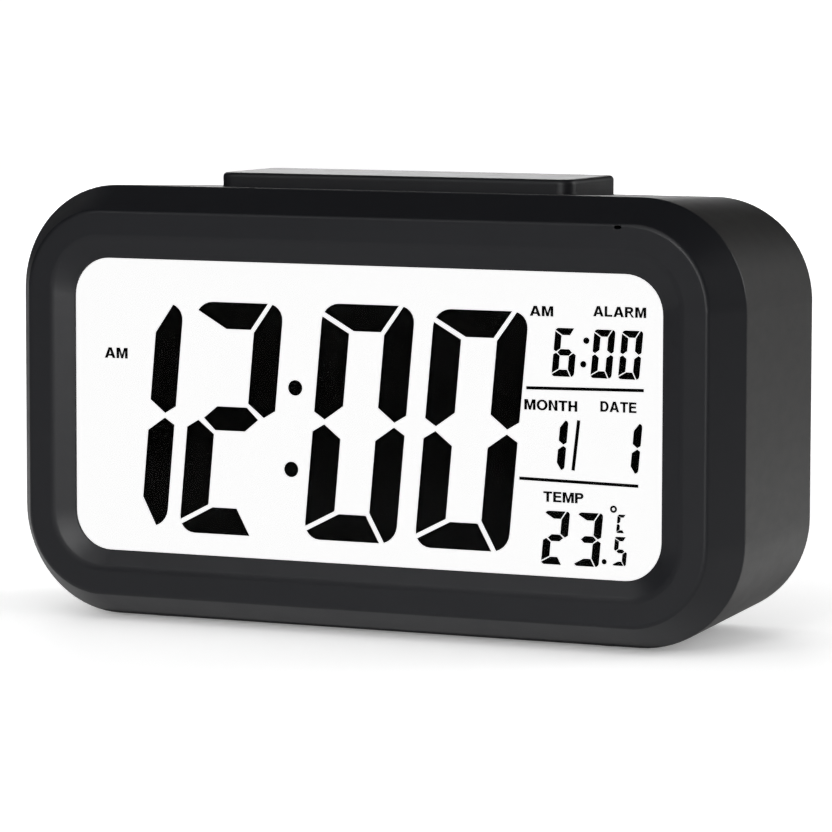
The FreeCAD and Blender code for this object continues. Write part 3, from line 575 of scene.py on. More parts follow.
def kept_side(points: Sequence[Point], start: Point, stop: Point, gap: float = 0.0) -> Outline:
    """Cuts a convex outline along a line and keeps what lies on its left.

    Args:
        points: the outline.
        start: one point of the line.
        stop: a further point of the line.
        gap: how far the cut is moved towards the kept side.

    Returns:
        The outline that is left.
    """
    along = Vector((stop[0] - start[0], stop[1] - start[1])).normalized()
    left = Vector((-along[1], along[0]))
    level = left.dot(Vector(start)) + gap
    kept: Outline = []
    for first, second in zip(points, list(points[1:]) + [points[0]]):
        here = left.dot(Vector(first)) - level
        there = left.dot(Vector(second)) - level
        if here >= 0:
            kept.append(tuple(first))
        if here * there < 0:
            share = here / (here - there)
            kept.append(tuple(Vector(first).lerp(Vector(second), share)))
    return kept


# ------------------------------------------------------------------ seven-segment characters
class Segment(Enum):
    """The seven bars of a numeral."""

    TOP = "a"
    UPPER_RIGHT = "b"
    LOWER_RIGHT = "c"
    BOTTOM = "d"
    LOWER_LEFT = "e"
    UPPER_LEFT = "f"
    MIDDLE = "g"


SHAPES = {"0": "abcdef", "1": "bc", "2": "abged", "3": "abgcd", "5": "afgcd", "6": "afedcg", "C": "afed"}


@dataclass(frozen=True)
class SegmentStyle:
    """Proportions of one size of numeral, in metres before it is slanted."""

    half_width: float
    half_height: float
    upright: float
    bar: float
    middle: float
    gap: float
    corner: float
    slant: float = 0.09
    steep_foot: float = 0.02      # start of the steep cut, as a share of the half width
    steep_head: float = 0.52      # its end, as a share of the upright
    shallow_side: float = 0.04    # end of the shallow cut, from the outer side
    shallow_drop: float = 0.42    # the same from the top, as a share of the bar
    tip_inset: float = 0.39       # pointed end of an upright, as a share of the upright
    inner_slope: float = 0.74     # slopes of the pointed end's two sides
    outer_slope: float = 0.62

    def bars(self, lit: str) -> list[Outline]:
        """Outlines of the lit bars around the numeral's middle.

        Args:
            lit: the letters of the segments that are on.

        Returns:
            One convex outline for each bar, slanted.
        """
        wide, high = self.half_width, self.half_height
        inner, ceiling = wide - self.upright, high - self.bar
        half_gap = self.gap / 2
        frame_outline: Outline = []
        for sx, sz, turn in ((1, 1, 0), (-1, 1, 90), (-1, -1, 180), (1, -1, 270)):
            middle = (sx * (wide - self.corner), sz * (high - self.corner))
            frame_outline += arc(middle, (self.corner, self.corner), turn, turn + 90, 6)
        steep = ((inner - self.steep_foot * wide, ceiling), (inner + self.steep_head * self.upright, high))
        shallow = ((-inner, ceiling), (-wide + self.shallow_side * wide, high - self.shallow_drop * self.bar))
        tip = (wide - self.tip_inset * self.upright, half_gap)
        found = []
        for segment in (Segment(letter) for letter in lit):
            if segment is Segment.MIDDLE:
                reach, half = inner - 0.04 * self.upright, self.middle / 2
                end = tip[0] - 0.2 * self.upright
                outline = [(-end, 0), (-reach, -half), (reach, -half),
                           (end, 0), (reach, half), (-reach, half)]
            elif segment in (Segment.TOP, Segment.BOTTOM):
                outline = kept_side(frame_outline, (-wide, ceiling), (wide, ceiling))
                outline = kept_side(outline, steep[0], steep[1], half_gap)
                outline = kept_side(outline, shallow[1], shallow[0], half_gap)
            else:
                right = segment in (Segment.UPPER_RIGHT, Segment.LOWER_RIGHT)
                if right:
                    outline = kept_side(frame_outline, (inner, high), (inner, -high))
                    outline = kept_side(outline, steep[1], steep[0], half_gap)
                else:
                    outline = kept_side(frame_outline, (-inner, -high), (-inner, high))
                    outline = kept_side(outline, shallow[0], shallow[1], half_gap)
                side = 1 if right else -1
                inner_foot = (side * inner, tip[1] + self.inner_slope * (tip[0] - inner))
                outer_foot = (side * wide, tip[1] + self.outer_slope * (wide - tip[0]))
                point = (side * tip[0], tip[1])
                feet = (inner_foot, point), (point, outer_foot)
                for start, stop in feet:
                    outline = kept_side(outline, start, stop) if right else kept_side(outline, stop, start)
            if segment in (Segment.BOTTOM, Segment.LOWER_LEFT, Segment.LOWER_RIGHT):
                outline = [(x, -z) for x, z in reversed(outline)]
            found.append([(x + self.slant * z, z) for x, z in outline])
        return found

    def numeral(self, character: str, middle: Point) -> list[Outline]:
        """Bars of one character, moved to its middle."""
        return [[(x + middle[0], z + middle[1]) for x, z in bar] for bar in self.bars(SHAPES[character])]


# ------------------------------------------------------------------ lettering
STEM = 0.245    # width of upright strokes, for a letter 1 high
ARM = 0.2       # thickness of level strokes


def letter_loops(letter: str) -> tuple[float, list[Outline]]:
    """Plain sans-serif capital, 1 high, from its own strokes.

    Args:
        letter: one of the capitals that the display uses.

    Returns:
        Its width, and its outlines with the holes among them.
    """
    s, a = STEM, ARM
    if letter == "A":
        outer = [(0, 0), (0.35, 1), (0.63, 1), (0.98, 0), (0.72, 0), (0.65, 0.2), (0.33, 0.2), (0.26, 0)]
        return 0.98, [outer, [(0.39, 0.38), (0.59, 0.38), (0.49, 0.74)]]
    if letter == "M":
        left = [(0, 0), (0, 1), (0.32, 1), (0.51, 0.36)]
        right = [(0.7, 1), (1.02, 1), (1.02, 0), (1.02 - s, 0), (1.02 - s, 0.7)]
        return 1.02, [left + right + [(0.61, 0), (0.41, 0), (s, 0.7), (s, 0)]]
    if letter == "L":
        return 0.72, [[(0, 0), (0, 1), (s, 1), (s, a), (0.72, a), (0.72, 0)]]
    if letter == "T":
        half = (0.8 - s) / 2
        return 0.8, [[(half, 0), (half, 1 - a), (0, 1 - a), (0, 1), (0.8, 1), (0.8, 1 - a),
                      (0.8 - half, 1 - a), (0.8 - half, 0)]]
    if letter == "H":
        return 0.8, [[(0, 0), (0, 1), (s, 1), (s, 0.6), (0.8 - s, 0.6), (0.8 - s, 1), (0.8, 1), (0.8, 0),
                      (0.8 - s, 0), (0.8 - s, 0.6 - a), (s, 0.6 - a), (s, 0)]]
    if letter == "E":
        arms = [(0.76, 0), (0.76, a), (s, a), (s, 0.43), (0.7, 0.43), (0.7, 0.43 + a), (s, 0.43 + a),
                (s, 1 - a), (0.74, 1 - a), (0.74, 1)]
        return 0.76, [[(0, 1), (0, 0)] + arms]
    if letter == "N":
        return 0.8, [[(0, 0), (0, 1), (s, 1), (0.8 - s, 0.3), (0.8 - s, 1), (0.8, 1), (0.8, 0), (0.8 - s, 0),
                      (s, 0.69), (s, 0)]]
    if letter == "O":
        ring = arc((0.5, 0.5), (0.5, 0.52), 0, 345, 23)
        return 1.0, [ring, arc((0.5, 0.5), (0.5 - s, 0.52 - a), 0, 345, 23)]
    if letter == "D":
        bow = arc((0.42, 0.5), (0.42, 0.5), 90, -90, 14)
        well = arc((0.40, 0.5), (0.42 - s + 0.02, 0.5 - a), 90, -90, 14)
        return 0.84, [[(0, 0), (0, 1)] + bow, [(s, a), (s, 1 - a)] + well]
    bow = arc((0.5, 0.71), (0.27, 0.29), 90, -90, 12)
    well = arc((0.48, 0.71), (0.27 - s + 0.02, 0.29 - a), 90, -90, 12)
    hole = [(s, 0.42 + a), (s, 1 - a)] + well
    if letter == "P":
        return 0.77, [[(0, 0), (0, 1)] + bow + [(s, 0.42), (s, 0)], hole]
    if letter == "R":
        leg = [(0.56, 0.42), (0.86, 0), (0.65, 0), (0.4, 0.4), (s, 0.4), (s, 0)]
        return 0.86, [[(0, 0), (0, 1)] + bow + leg, hole]
    raise ValueError(f"no outline for {letter}")


@dataclass(frozen=True)
class Word:
    """One word of the display, fitted between its left and right ends."""

    text: str
    left: float
    right: float
    base: float
    top: float
    spacing: float = 0.09

    def mesh(self, front: float, back: float) -> Mesh:
        """The word as thin plates between two depths."""
        loops: list[Outline] = []
        reach = 0.0
        for letter in self.text:
            width, shapes = letter_loops(letter)
            loops += [[(x + reach, z) for x, z in shape] for shape in shapes]
            reach += width + self.spacing
        across = (self.right - self.left) / (reach - self.spacing)
        high = self.top - self.base
        placed = [[(self.left + x * across, self.base + z * high) for x, z in loop] for loop in loops]
        return filled(placed, front, back)


# ------------------------------------------------------------------ display
class Assembly:
    """A group of the clock's pieces."""

    def build(self, finishes: Materials) -> None:
        """Adds the pieces to the scene.

        Args:
            finishes: the materials by slot.
        """
        raise NotImplementedError


@dataclass(frozen=True)
class Display(Assembly):
    """Characters in the liquid crystal between the two panes."""

    middle_height: float = 38.0 * MM
    front: float = -19.245 * MM
    back: float = -19.205 * MM
    ink: str = "crystal_ink"

    def at(self, x: float, z: float) -> Point:
        """A point given in millimetres from the middle of the case, in metres."""
        return (x * MM, z * MM + self.middle_height)

    def style(self, wide: float, high: float, upright: float, bar: float, middle: float, gap: float,
              corner: float) -> SegmentStyle:
        """Numeral proportions given in millimetres."""
        return SegmentStyle(*(size * MM for size in (wide, high, upright, bar, middle, gap, corner)))

    def dot(self, x: float, z: float, radius: float) -> Outline:
        """Round dot, in millimetres."""
        return arc(self.at(x, z), (radius * MM, radius * MM), 0, 348.75, 31)

    def rule(self, start: Point, stop: Point, thickness: float) -> Outline:
        """Straight line between two points, in millimetres."""
        a, b = Vector(self.at(*start)), Vector(self.at(*stop))
        along = (b - a).normalized()
        side = Vector((along[1], -along[0])) * thickness * MM / 2
        return [tuple(p) for p in (a + side, b + side, b - side, a - side)]

    def numerals(self, style: SegmentStyle, places: Sequence[tuple[str, float, float]]) -> list[Outline]:
        """Bars of several characters; each place is a character and its middle in millimetres."""
        found: list[Outline] = []
        for character, x, z in places:
            found += style.numeral(character, self.at(x, z))
        return found

    def add(self, name: str, outlines: Sequence[Outline], ink: Material) -> None:
        """Builds one piece from convex outlines."""
        add_piece(name, prisms(outlines, self.front, self.back), ink, "clock_case", "polariser")

    def build(self, finishes: Materials) -> None:
        """Builds every character of the display."""
        ink = finishes[self.ink]
        large = self.style(8.62, 20.25, 5.35, 4.6, 4.15, 0.8, 3.0)
        one = self.style(8.62, 19.4, 5.0, 4.6, 4.15, 0.8, 3.0)
        two = self.style(8.3, 20.05, 5.25, 4.6, 4.15, 0.8, 3.0)
        time = self.numerals(one, (("1", -44.7, -1.95),)) + self.numerals(two, (("2", -25.27, -2.05),))
        time += self.numerals(large, (("0", -0.95, -1.8), ("0", 19.8, -2.05)))
        self.add("time_digits", time, ink)
        self.add("time_colon", [self.dot(-13.0, 3.79, 1.33), self.dot(-13.76, -10.21, 1.33)], ink)
        hour = self.style(2.02, 4.05, 1.2, 1.18, 1.08, 0.18, 0.6)
        small = self.style(1.88, 4.05, 1.2, 1.18, 1.0, 0.18, 0.6)
        alarm = self.numerals(hour, (("6", 36.68, 11.68),))
        alarm += self.numerals(small, (("0", 43.52, 11.65), ("0", 48.45, 11.65)))
        self.add("alarm_digits", alarm, ink)
        self.add("alarm_colon", [self.dot(40.55, 13.76, 0.55), self.dot(40.03, 9.82, 0.55)], ink)
        date = self.style(1.96, 4.15, 1.45, 1.1, 0.95, 0.2, 0.6)
        self.add("date_digits", self.numerals(date, (("1", 35.12, -3.8), ("1", 48.32, -3.8))), ink)
        warm = self.style(2.22, 4.5, 1.42, 1.3, 1.15, 0.2, 0.6)
        self.add("temperature_digits", self.numerals(warm, (("2", 35.2, -19.35), ("3", 41.15, -19.35))), ink)
        tenth = self.style(1.18, 2.42, 0.78, 0.72, 0.66, 0.12, 0.3)
        unit = self.style(0.86, 1.55, 0.58, 0.5, 0.45, 0.05, 0.35)
        marks = self.numerals(tenth, (("5", 46.86, -21.0),)) + self.numerals(unit, (("C", 47.05, -16.41),))
        self.add("temperature_marks", marks + [self.dot(43.97, -22.88, 0.45)], ink)
        rules = (((29.79, 5.52), (50.82, 5.88), 0.54), ((28.61, -9.67), (49.97, -10.0), 0.54),
                 ((38.30, -7.94), (39.27, 0.48), 0.6))
        self.add("display_rules", [self.rule(*line) for line in rules], ink)
        self.build_words(ink)

    def build_words(self, ink: Material) -> None:
        """Builds the words and the degree ring.

        Args:
            ink: the material of switched-on crystal.
        """
        words = (("AM", -49.8, -45.3, 7.6, 9.45), ("AM", 30.36, 34.6, 17.55, 19.27),
                 ("ALARM", 41.73, 51.15, 17.85, 19.58), ("MONTH", 29.45, 39.0, 1.88, 3.64),
                 ("DATE", 43.12, 49.55, 2.09, 3.85), ("TEMP", 32.97, 40.2, -13.39, -11.64))
        meshes = []
        for text, left, right, low, high in words:
            start, stop = self.at(left, low), self.at(right, high)
            meshes.append(Word(text, start[0], stop[0], start[1], stop[1]).mesh(self.front, self.back))
        add_piece("display_words", merged(meshes), ink, "clock_case", "polariser")
        middle = self.at(45.58, -14.03)
        ring = [arc(middle, (r * MM, r * MM), 0, 345, 23) for r in (0.62, 0.26)]
        mesh = filled(ring, self.front, self.back)
        add_piece("degree_ring", mesh, ink, "clock_case", "polariser")


# ------------------------------------------------------------------ repeats made with Geometry Nodes
class GeometryRecipe(NodeDrawing):
    """A geometry tree with named inputs, applied once and turned into a plain mesh."""

    row_inputs = {"Count": "Int", "Start": "Vector", "Step": "Vector", "Material": "Material"}

    def __init__(self, name: str, **inputs: str) -> None:
        """Starts a tree that repeats a piece along a line.

        Args:
            name: the tree's name.
            inputs: the piece's own inputs with their socket kinds, such as Float or Int.
        """
        self.tree = bpy.data.node_groups.new(name, "GeometryNodeTree")
        self.names: dict[str, str] = {}
        for key, kind in {**inputs, **self.row_inputs}.items():
            socket = self.tree.interface.new_socket(key, in_out="INPUT", socket_type=f"NodeSocket{kind}")
            self.names[key] = socket.identifier
        self.tree.interface.new_socket("Geometry", in_out="OUTPUT", socket_type="NodeSocketGeometry")
        self.source = self.tree.nodes.new("NodeGroupInput")

    def value(self, name: str) -> Socket:
        """The socket of a named input."""
        return self.source.outputs[name]

    def repeat(self, piece: Socket, **placing: Socket) -> None:
        """Ends the tree: the piece along a line, realised, smooth and with its material."""
        row = self.node("GeometryNodeMeshLine", {"Count": self.value("Count"),
                        "Start Location": self.value("Start"), "Offset": self.value("Step")})
        placed = self.node("GeometryNodeInstanceOnPoints", {"Points": row.outputs[0], "Instance": piece,
                           **placing})
        real = self.node("GeometryNodeRealizeInstances", {"Geometry": placed.outputs[0]}).outputs[0]
        smooth = self.node("GeometryNodeSetShadeSmooth", {"Geometry": real}).outputs[0]
        dressed = self.node("GeometryNodeSetMaterial", {"Geometry": smooth,
                            "Material": self.value("Material")})
        sink = self.tree.nodes.new("NodeGroupOutput")
        self.tree.links.new(dressed.outputs[0], sink.inputs[0])

    def mesh(self, **values: object) -> Mesh:
        """Runs the tree with these inputs and returns the plain mesh."""
        holder = bpy.data.objects.new("recipe", bpy.data.meshes.new("recipe"))
        bpy.context.scene.collection.objects.link(holder)
        modifier = holder.modifiers.new("recipe", "NODES")
        modifier.node_group = self.tree
        for key, value in values.items():
            modifier[self.names[key]] = value
        bpy.context.view_layer.update()
        evaluated = holder.evaluated_get(bpy.context.evaluated_depsgraph_get())
        mesh = bpy.data.meshes.new_from_object(evaluated)
        holder.modifiers.remove(modifier)
        bpy.data.objects.remove(holder)
        return mesh


@dataclass(frozen=True)
class SnoozeSprings(Assembly):
    """Two coil springs that hold the snooze bar up."""

    radius: float = 2.6 * MM
    wire: float = 0.5 * MM
    turns: float = 6.0
    pitch: float = 48.0 * MM
    travel: float = 0.6 * MM

    def recipe(self) -> GeometryRecipe:
        """Tree that winds a spring and repeats it along a line."""
        made = GeometryRecipe("coil_row", Radius="Float", Wire="Float", Rise="Float", Turns="Float")
        spiral = made.node("GeometryNodeCurveSpiral", {"Resolution": 24, "Rotations": made.value("Turns"),
                           "Start Radius": made.value("Radius"), "End Radius": made.value("Radius"),
                           "Height": made.value("Rise")})
        section = made.node("GeometryNodeCurvePrimitiveCircle", {"Resolution": 10,
                            "Radius": made.value("Wire")}, mode="RADIUS")
        wound = made.node("GeometryNodeCurveToMesh", {"Curve": spiral.outputs[0],
                          "Profile Curve": section.outputs[0], "Fill Caps": True})
        made.repeat(wound.outputs[0])
        return made

    def build(self, finishes: Materials) -> None:
        """Builds the springs between the bridge and the bar."""
        low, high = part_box("snooze_springs")
        start = Vector((-self.pitch / 2, (low.y + high.y) / 2, low.z + self.wire / 2))
        mesh = self.recipe().mesh(Radius=self.radius, Wire=self.wire / 2, Rise=high.z - low.z - self.wire,
                                  Turns=self.turns, Count=2, Start=start, Step=Vector((self.pitch, 0, 0)),
                                  Material=finishes["spring_steel"])
        piece = add_piece("snooze_coils", mesh, finishes["spring_steel"], "clock_case", "spring_steel",
                          "snooze_springs")
        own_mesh(piece)


@dataclass(frozen=True)
class SolderJoints(Assembly):
    """Rows of solder domes where the push switches' pins come through the key board."""

    radius: float = 0.55 * MM
    height: float = 0.35
    across: float = 4.5 * MM
    seed: int = 7

    def recipe(self) -> GeometryRecipe:
        """Tree that repeats a flattened dome along a line, each a little different."""
        made = GeometryRecipe("solder_row", Radius="Float", Flatness="Float", Seed="Int")
        dome = made.node("GeometryNodeMeshIcoSphere", {"Radius": made.value("Radius"), "Subdivisions": 3})
        squeeze = made.node("ShaderNodeCombineXYZ", {0: 1.0, 1: made.value("Flatness"), 2: 1.0})
        flat = made.node("GeometryNodeTransform", {"Geometry": dome.outputs[0], "Scale": squeeze.outputs[0]})
        size = made.node("FunctionNodeRandomValue", {"Min": (0.85, 0.8, 0.85), "Max": (1.1, 1.15, 1.1),
                         "Seed": made.value("Seed")}, data_type="FLOAT_VECTOR")
        made.repeat(flat.outputs[0], Scale=size.outputs[0])
        return made

    def build(self, finishes: Materials) -> None:
        """Builds the joints of every switch on the front side of the key board."""
        low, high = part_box("key_switches")
        board_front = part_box("key_board")[0].y
        half = (high.z - low.z) / 2
        key_pitch = (high.x - low.x - 2 * half) / 5
        recipe = self.recipe()
        meshes = []
        for side in (-1, 1):
            for end in (-1, 1):
                start = Vector((low.x + half + side * self.across / 2, board_front,
                                (low.z + high.z) / 2 + end * 0.75 * half))
                meshes.append(recipe.mesh(Radius=self.radius, Flatness=self.height, Count=6, Start=start,
                                          Step=Vector((key_pitch, 0, 0)), Seed=self.seed + side + 3 * end,
                                          Material=finishes["lead_bare"]))
        add_piece("switch_joints", merged(meshes), finishes["lead_bare"], "clock_case", "lead_bare")


# ------------------------------------------------------------------ back of the clock
@dataclass(frozen=True)
class BackMarkings(Assembly):
    """Printed words over the keys and the slide switch, and moulded marks on the battery door."""

    print_depth: float = 0.02 * MM
    cap_height: float = 1.7 * MM
    font_ratio: float = 0.66      # height of a capital over the size of the font
    word_gap: float = 0.7 * MM
    switch_word_lines: Point = (4.6 * MM, 1.7 * MM)
    switch_word_reach: float = 3.6 * MM
    arrow_tip: float = 1.0 * MM
    arrow_size: Point = (2.8 * MM, 3.4 * MM)
    arrow_height: float = 0.2 * MM
    sign_place: float = 18.0 * MM
    sign_long: float = 2.0 * MM
    sign_thick: float = 0.4 * MM
    sign_height: float = 0.15 * MM
    row_pitch: float = 11.2 * MM
    key_words: tuple[tuple[str, str], ...] = (
        ("mode_key", "MODE"), ("set_key", "SET"), ("up_key", "UP"), ("down_key", "DOWN"),
        ("alarm_key", "ALARM"), ("unit_key", "°C/°F"))

    def word(self, text: str, x: float, z: float, rear: float) -> Mesh:
        """One printed word that reads from behind.

        Args:
            text: the word.
            x: its middle.
            z: its base line.
            rear: y of the surface that it is printed on.

        Returns:
            A closed thin mesh in place.
        """
        curve = bpy.data.curves.new(text, "FONT")
        curve.body = text
        curve.size = self.cap_height / self.font_ratio
        curve.align_x = "CENTER"
        curve.space_character = 1.08
        curve.resolution_u = 3
        curve.extrude = self.print_depth
        mesh = solid_mesh(bpy.data.objects.new(text, curve))
        turn = Matrix.Rotation(math.pi, 4, "Z") @ Matrix.Rotation(math.pi / 2, 4, "X")
        mesh.transform(Matrix.Translation((x, rear, z)) @ turn)
        return mesh

    def build(self, finishes: Materials) -> None:
        """Builds the printed words and the door's moulded marks."""
        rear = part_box("rear_case")[1].y
        words = []
        for node, text in self.key_words:
            low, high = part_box(node)
            words.append(self.word(text, (low.x + high.x) / 2, high.z + self.word_gap, rear))
        low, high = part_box("slide_switch_body")
        middle = (low.x + high.x) / 2
        upper, lower = (high.z + line for line in self.switch_word_lines)
        words.append(self.word("LIGHT", middle, upper, rear))
        words.append(self.word("ON", middle - self.switch_word_reach, lower, rear))
        words.append(self.word("OFF", middle + self.switch_word_reach, lower, rear))
        add_piece("printed_words", merged(words), finishes["white_print"], "clock_case", "case")
        self.build_door_marks(finishes["door"])

    def build_door_marks(self, plastic: Material) -> None:
        """Raised arrow outside the battery door, and raised + and - signs inside it.

        Args:
            plastic: the door's material.
        """
        low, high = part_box("battery_door")
        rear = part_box("rear_case")[1].y
        middle = (low.z + high.z) / 2
        tip, (half, rise) = middle + self.arrow_tip, self.arrow_size
        arrow = [(0.0, tip), (half, tip + rise), (-half, tip + rise)]
        mesh = prisms([arrow], rear - self.print_depth, rear + self.arrow_height)
        add_piece("door_arrow", mesh, plastic, "door", "door")
        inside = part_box("door_foam")[1].y
        long, thick = self.sign_long, self.sign_thick
        signs: list[Outline] = []
        for row in (-1, 0, 1):
            plus_side = 1 if row else -1
            z = middle + row * self.row_pitch
            for side in (-1, 1):
                x = side * self.sign_place
                signs.append(self.bar(x, z, long, thick))
                if side == plus_side:
                    signs += [self.bar(x, z + end * (long + thick) / 2, thick, (long - thick) / 2)
                              for end in (-1, 1)]
        mesh = prisms(signs, inside - self.sign_height, inside + self.print_depth)
        add_piece("door_signs", mesh, plastic, "door", "door")

    def bar(self, x: float, z: float, half_wide: float, half_high: float) -> Outline:
        """Rectangle around a point."""
        return [(x - half_wide, z - half_high), (x + half_wide, z - half_high),
                (x + half_wide, z + half_high), (x - half_wide, z + half_high)]


@dataclass(frozen=True)
class FoamPad(Assembly):
    """Soft pad inside the battery door: flat on the door, crowned towards the cells."""

    columns: int = 24
    rows: int = 56
    edge: float = 1.1 * MM
    rim_height: float = 0.45      # as shares of the pad's thickness
    crown_height: float = 0.5
    ripple_height: float = 0.03
    ripple_turns: tuple[float, float] = (1900.0, 2300.0)

    def build(self, finishes: Materials) -> None:
        """Builds the pad in the place of its CAD block."""
        low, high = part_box("door_foam")
        shape = bmesh.new()
        sheets = []
        for front in (True, False):
            grid = []
            for i in range(self.columns + 1):
                x = low.x + (high.x - low.x) * i / self.columns
                line = []
                for j in range(self.rows + 1):
                    z = low.z + (high.z - low.z) * j / self.rows
                    inset = min(x - low.x, high.x - x, z - low.z, high.z - z) / self.edge
                    crown = self.rim_height + self.crown_height * math.sin(min(1.0, inset) * math.pi / 2)
                    ripple = math.sin(self.ripple_turns[0] * x + 3) * math.sin(self.ripple_turns[1] * z)
                    raised = crown + self.ripple_height * ripple
                    y = high.y - (high.y - low.y) * raised if front else high.y
                    line.append(shape.verts.new((x, y, z)))
                grid.append(line)
            sheets.append(grid)
        for grid in sheets:
            for i in range(self.columns):
                for j in range(self.rows):
                    shape.faces.new((grid[i][j], grid[i + 1][j], grid[i + 1][j + 1], grid[i][j + 1]))
        rims = []
        for grid in sheets:
            rim = [grid[i][0] for i in range(self.columns)]
            rim += [grid[self.columns][j] for j in range(self.rows)]
            rim += [grid[i][self.rows] for i in range(self.columns, 0, -1)]
            rim += [grid[0][j] for j in range(self.rows, 0, -1)]
            rims.append(rim)
        for i in range(len(rims[0])):
            j = (i + 1) % len(rims[0])
            shape.faces.new((rims[0][i], rims[0][j], rims[1][j], rims[1][i]))
        for face in shape.faces:
            face.smooth = True
        piece = add_piece("door_pad", finished(shape), finishes["foam"], "door", "foam", "door_foam")


# ------------------------------------------------------------------ studio
@dataclass(frozen=True)
class Panel:
    """One soft square light."""

    name: str
    place: tuple[float, float, float]
    size: float
    power: float
    target: tuple[float, float, float] = (0.0, 0.0, 0.038)

    def build(self) -> None:
        """Adds the light, facing its target."""
        data = bpy.data.lights.new(self.name, "AREA")
        data.shape = "SQUARE"
        data.size = self.size
        data.energy = self.power
        lamp = bpy.data.objects.new(self.name, data)
        lamp.location = self.place
        aim = Vector(self.target) - Vector(self.place)
        lamp.rotation_euler = aim.to_track_quat("-Z", "Y").to_euler()
        lamp.visible_camera = False
        bpy.context.scene.collection.objects.link(lamp)


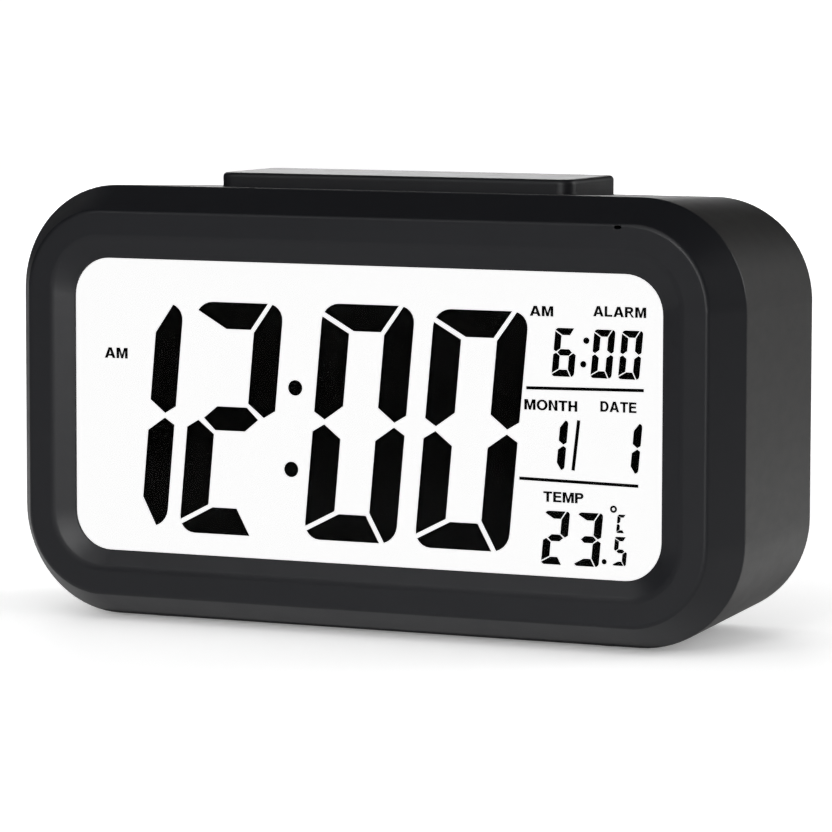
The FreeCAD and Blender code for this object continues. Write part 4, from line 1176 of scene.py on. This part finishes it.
@dataclass(frozen=True)
class Studio:
    """White floor and backdrop, soft panels and the camera."""

    sky: float = 0.03
    sky_seen: float = 1.0
    floor_seen: float = 0.8
    backdrop_seen: float = 1.0
    # Depth and reach of the painted contact shadow in the floor's camera-only glow.
    shade_depth: float = 0.73
    shade_reach: float = 0.09
    floor_white: tuple[float, float] = (0.84, 0.86)
    floor_end: float = 0.2
    backdrop_start: float = 2.2
    half_width: float = 9.0
    curve_start: float = 3.0
    curve_radius: float = 1.5
    wall_top: float = 6.0
    lens: float = 195.35
    camera_place: tuple[float, float, float] = (0.323709, -0.707738, 0.111899)
    camera_turn: tuple[float, float, float] = (24.521, 5.582, 0.119)
    panels: tuple[Panel, ...] = (
        Panel("panel_right_back", (1.1, 0.9, 0.5), 0.7, 7.3),
        Panel("panel_front", (0.08, -1.6, 0.66), 0.4, 6.5),
        Panel("panel_front_left", (-0.62, -1.12, 0.8), 0.4, 1.4),
        Panel("panel_front_low", (0.3, -1.5, 0.12), 0.5, 5.4),
        Panel("panel_top_front", (0.0, -1.0, 1.3), 0.8, 2.8),
        Panel("panel_back_left", (-0.8, 1.4, 0.6), 0.7, 6.0),
        Panel("table_bounce", (0.0, 0.0, 0.001), 0.5, 0.19, (0.0, 0.0, 1.0)),
        Panel("table_right", (0.17, 0.1, 0.001), 0.2, 0.06, (0.17, 0.1, 1.0)),
    )

    def build_floor(self) -> None:
        """Adds the floor, which curves up into a backdrop, with a painted contact shadow in the glow that the
        camera sees.
        """
        pen = Pen("studio_white")
        white = pen.spread(pen.noise(3, 2), *self.floor_white)
        colour = pen.node("ShaderNodeCombineColor", {0: white, 1: white, 2: white}).outputs[0]
        seen = pen.node("ShaderNodeLightPath").outputs["Is Camera Ray"]
        # Painted contact shadow: the glow seen by the camera is dimmed by ambient occlusion near the clock.
        painted_shadow_ao = pen.node("ShaderNodeAmbientOcclusion", {"Distance": self.shade_reach}, samples=4)
        clear = pen.spread(painted_shadow_ao.outputs["AO"], 1 - self.shade_depth, 1.0, 0.0, 1.0)
        level = pen.spread(pen.axis("Y"), self.floor_seen, self.backdrop_seen, self.floor_end,
                           self.backdrop_start)
        painted_glow = pen.math("MULTIPLY", clear, level)
        material = pen.principled(Base_Color=colour, Roughness=0.8, Specular_IOR_Level=0.2,
                                  Emission_Color=(1, 1, 1, 1),
                                  Emission_Strength=pen.math("MULTIPLY", seen, painted_glow))
        radius = self.curve_radius
        profile = [(-self.half_width, 0.0)]
        profile += arc((self.curve_start, radius), (radius, radius), -90, 0)
        profile.append((self.curve_start + radius, self.wall_top))
        shape = bmesh.new()
        lines = [[shape.verts.new((x, y, z)) for y, z in profile]
                 for x in (-self.half_width, self.half_width)]
        for i in range(len(profile) - 1):
            shape.faces.new((lines[0][i], lines[1][i], lines[1][i + 1], lines[0][i + 1]))
        new_object("studio_floor", finished(shape, closed=False), material)

    def build_sky(self) -> None:
        """Adds the even light from all round, seen as white behind the floor."""
        world = bpy.data.worlds.new("studio_sky")
        world.use_nodes = True
        tree = world.node_tree
        background = tree.nodes["Background"]
        background.inputs["Color"].default_value = (1, 1, 1, 1)
        seen = tree.nodes.new("ShaderNodeLightPath").outputs["Is Camera Ray"]
        level = tree.nodes.new("ShaderNodeMapRange")
        level.inputs["To Min"].default_value = self.sky
        level.inputs["To Max"].default_value = self.sky_seen
        tree.links.new(seen, level.inputs["Value"])
        tree.links.new(level.outputs[0], background.inputs["Strength"])
        bpy.context.scene.world = world

    def build_camera(self) -> None:
        """Adds the camera, to the right of the clock and a little above it."""
        data = bpy.data.cameras.new("camera")
        data.lens = self.lens
        data.sensor_width = 36.0
        data.clip_start = 0.01
        camera = bpy.data.objects.new("camera", data)
        yaw, pitch, roll = (math.radians(angle) for angle in self.camera_turn)
        turn = (Matrix.Rotation(yaw, 4, "Z") @ Matrix.Rotation(math.pi / 2 - pitch, 4, "X")
                @ Matrix.Rotation(roll, 4, "Z"))
        camera.matrix_world = Matrix.Translation(self.camera_place) @ turn
        bpy.context.scene.collection.objects.link(camera)
        bpy.context.scene.camera = camera

    def build(self) -> None:
        """Adds the whole studio."""
        self.build_floor()
        self.build_sky()
        for panel in self.panels:
            panel.build()
        self.build_camera()
        bpy.context.scene.view_settings.view_transform = "Standard"


# ------------------------------------------------------------------ the whole clock
def make_finishes() -> Materials:
    """Every material, by the record's slot or by its own name for the printed ones."""
    made = {slot: finish.make() for slot, finish in {**FINISHES, **EXTRA_FINISHES}.items()}
    low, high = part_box("cells")
    radius = (high.y - low.y) / 2
    middle = (low.z + high.z) / 2
    sleeve = CellSleeve("cell_sleeve", middle, high.z - middle - radius, 12 * MM, high.x - 1.6 * MM)
    made["cell_sleeve"] = sleeve.make()
    return made


def dress_cad(finishes: Materials) -> None:
    """Gives every CAD node the finish of its slot.

    Args:
        finishes: the materials by slot.
    """
    for subpart in frame["record"]["subparts"]:
        node = frame["nodes"][subpart["node"]]
        node.data.materials.clear()
        node.data.materials.append(finishes[subpart["material_slot"]])
        log.info("%s has the finish %s", node.name, subpart["material_slot"])


def main() -> None:
    """Builds the clock's looks and the studio around its CAD model."""
    logging.basicConfig(level=logging.INFO, format="%(name)s: %(message)s")
    finishes = make_finishes()
    dress_cad(finishes)
    for assembly in (Display(), SnoozeSprings(), SolderJoints(), BackMarkings(), FoamPad()):
        assembly.build(finishes)
    Studio().build()


if __name__ == "__main__":
    main()
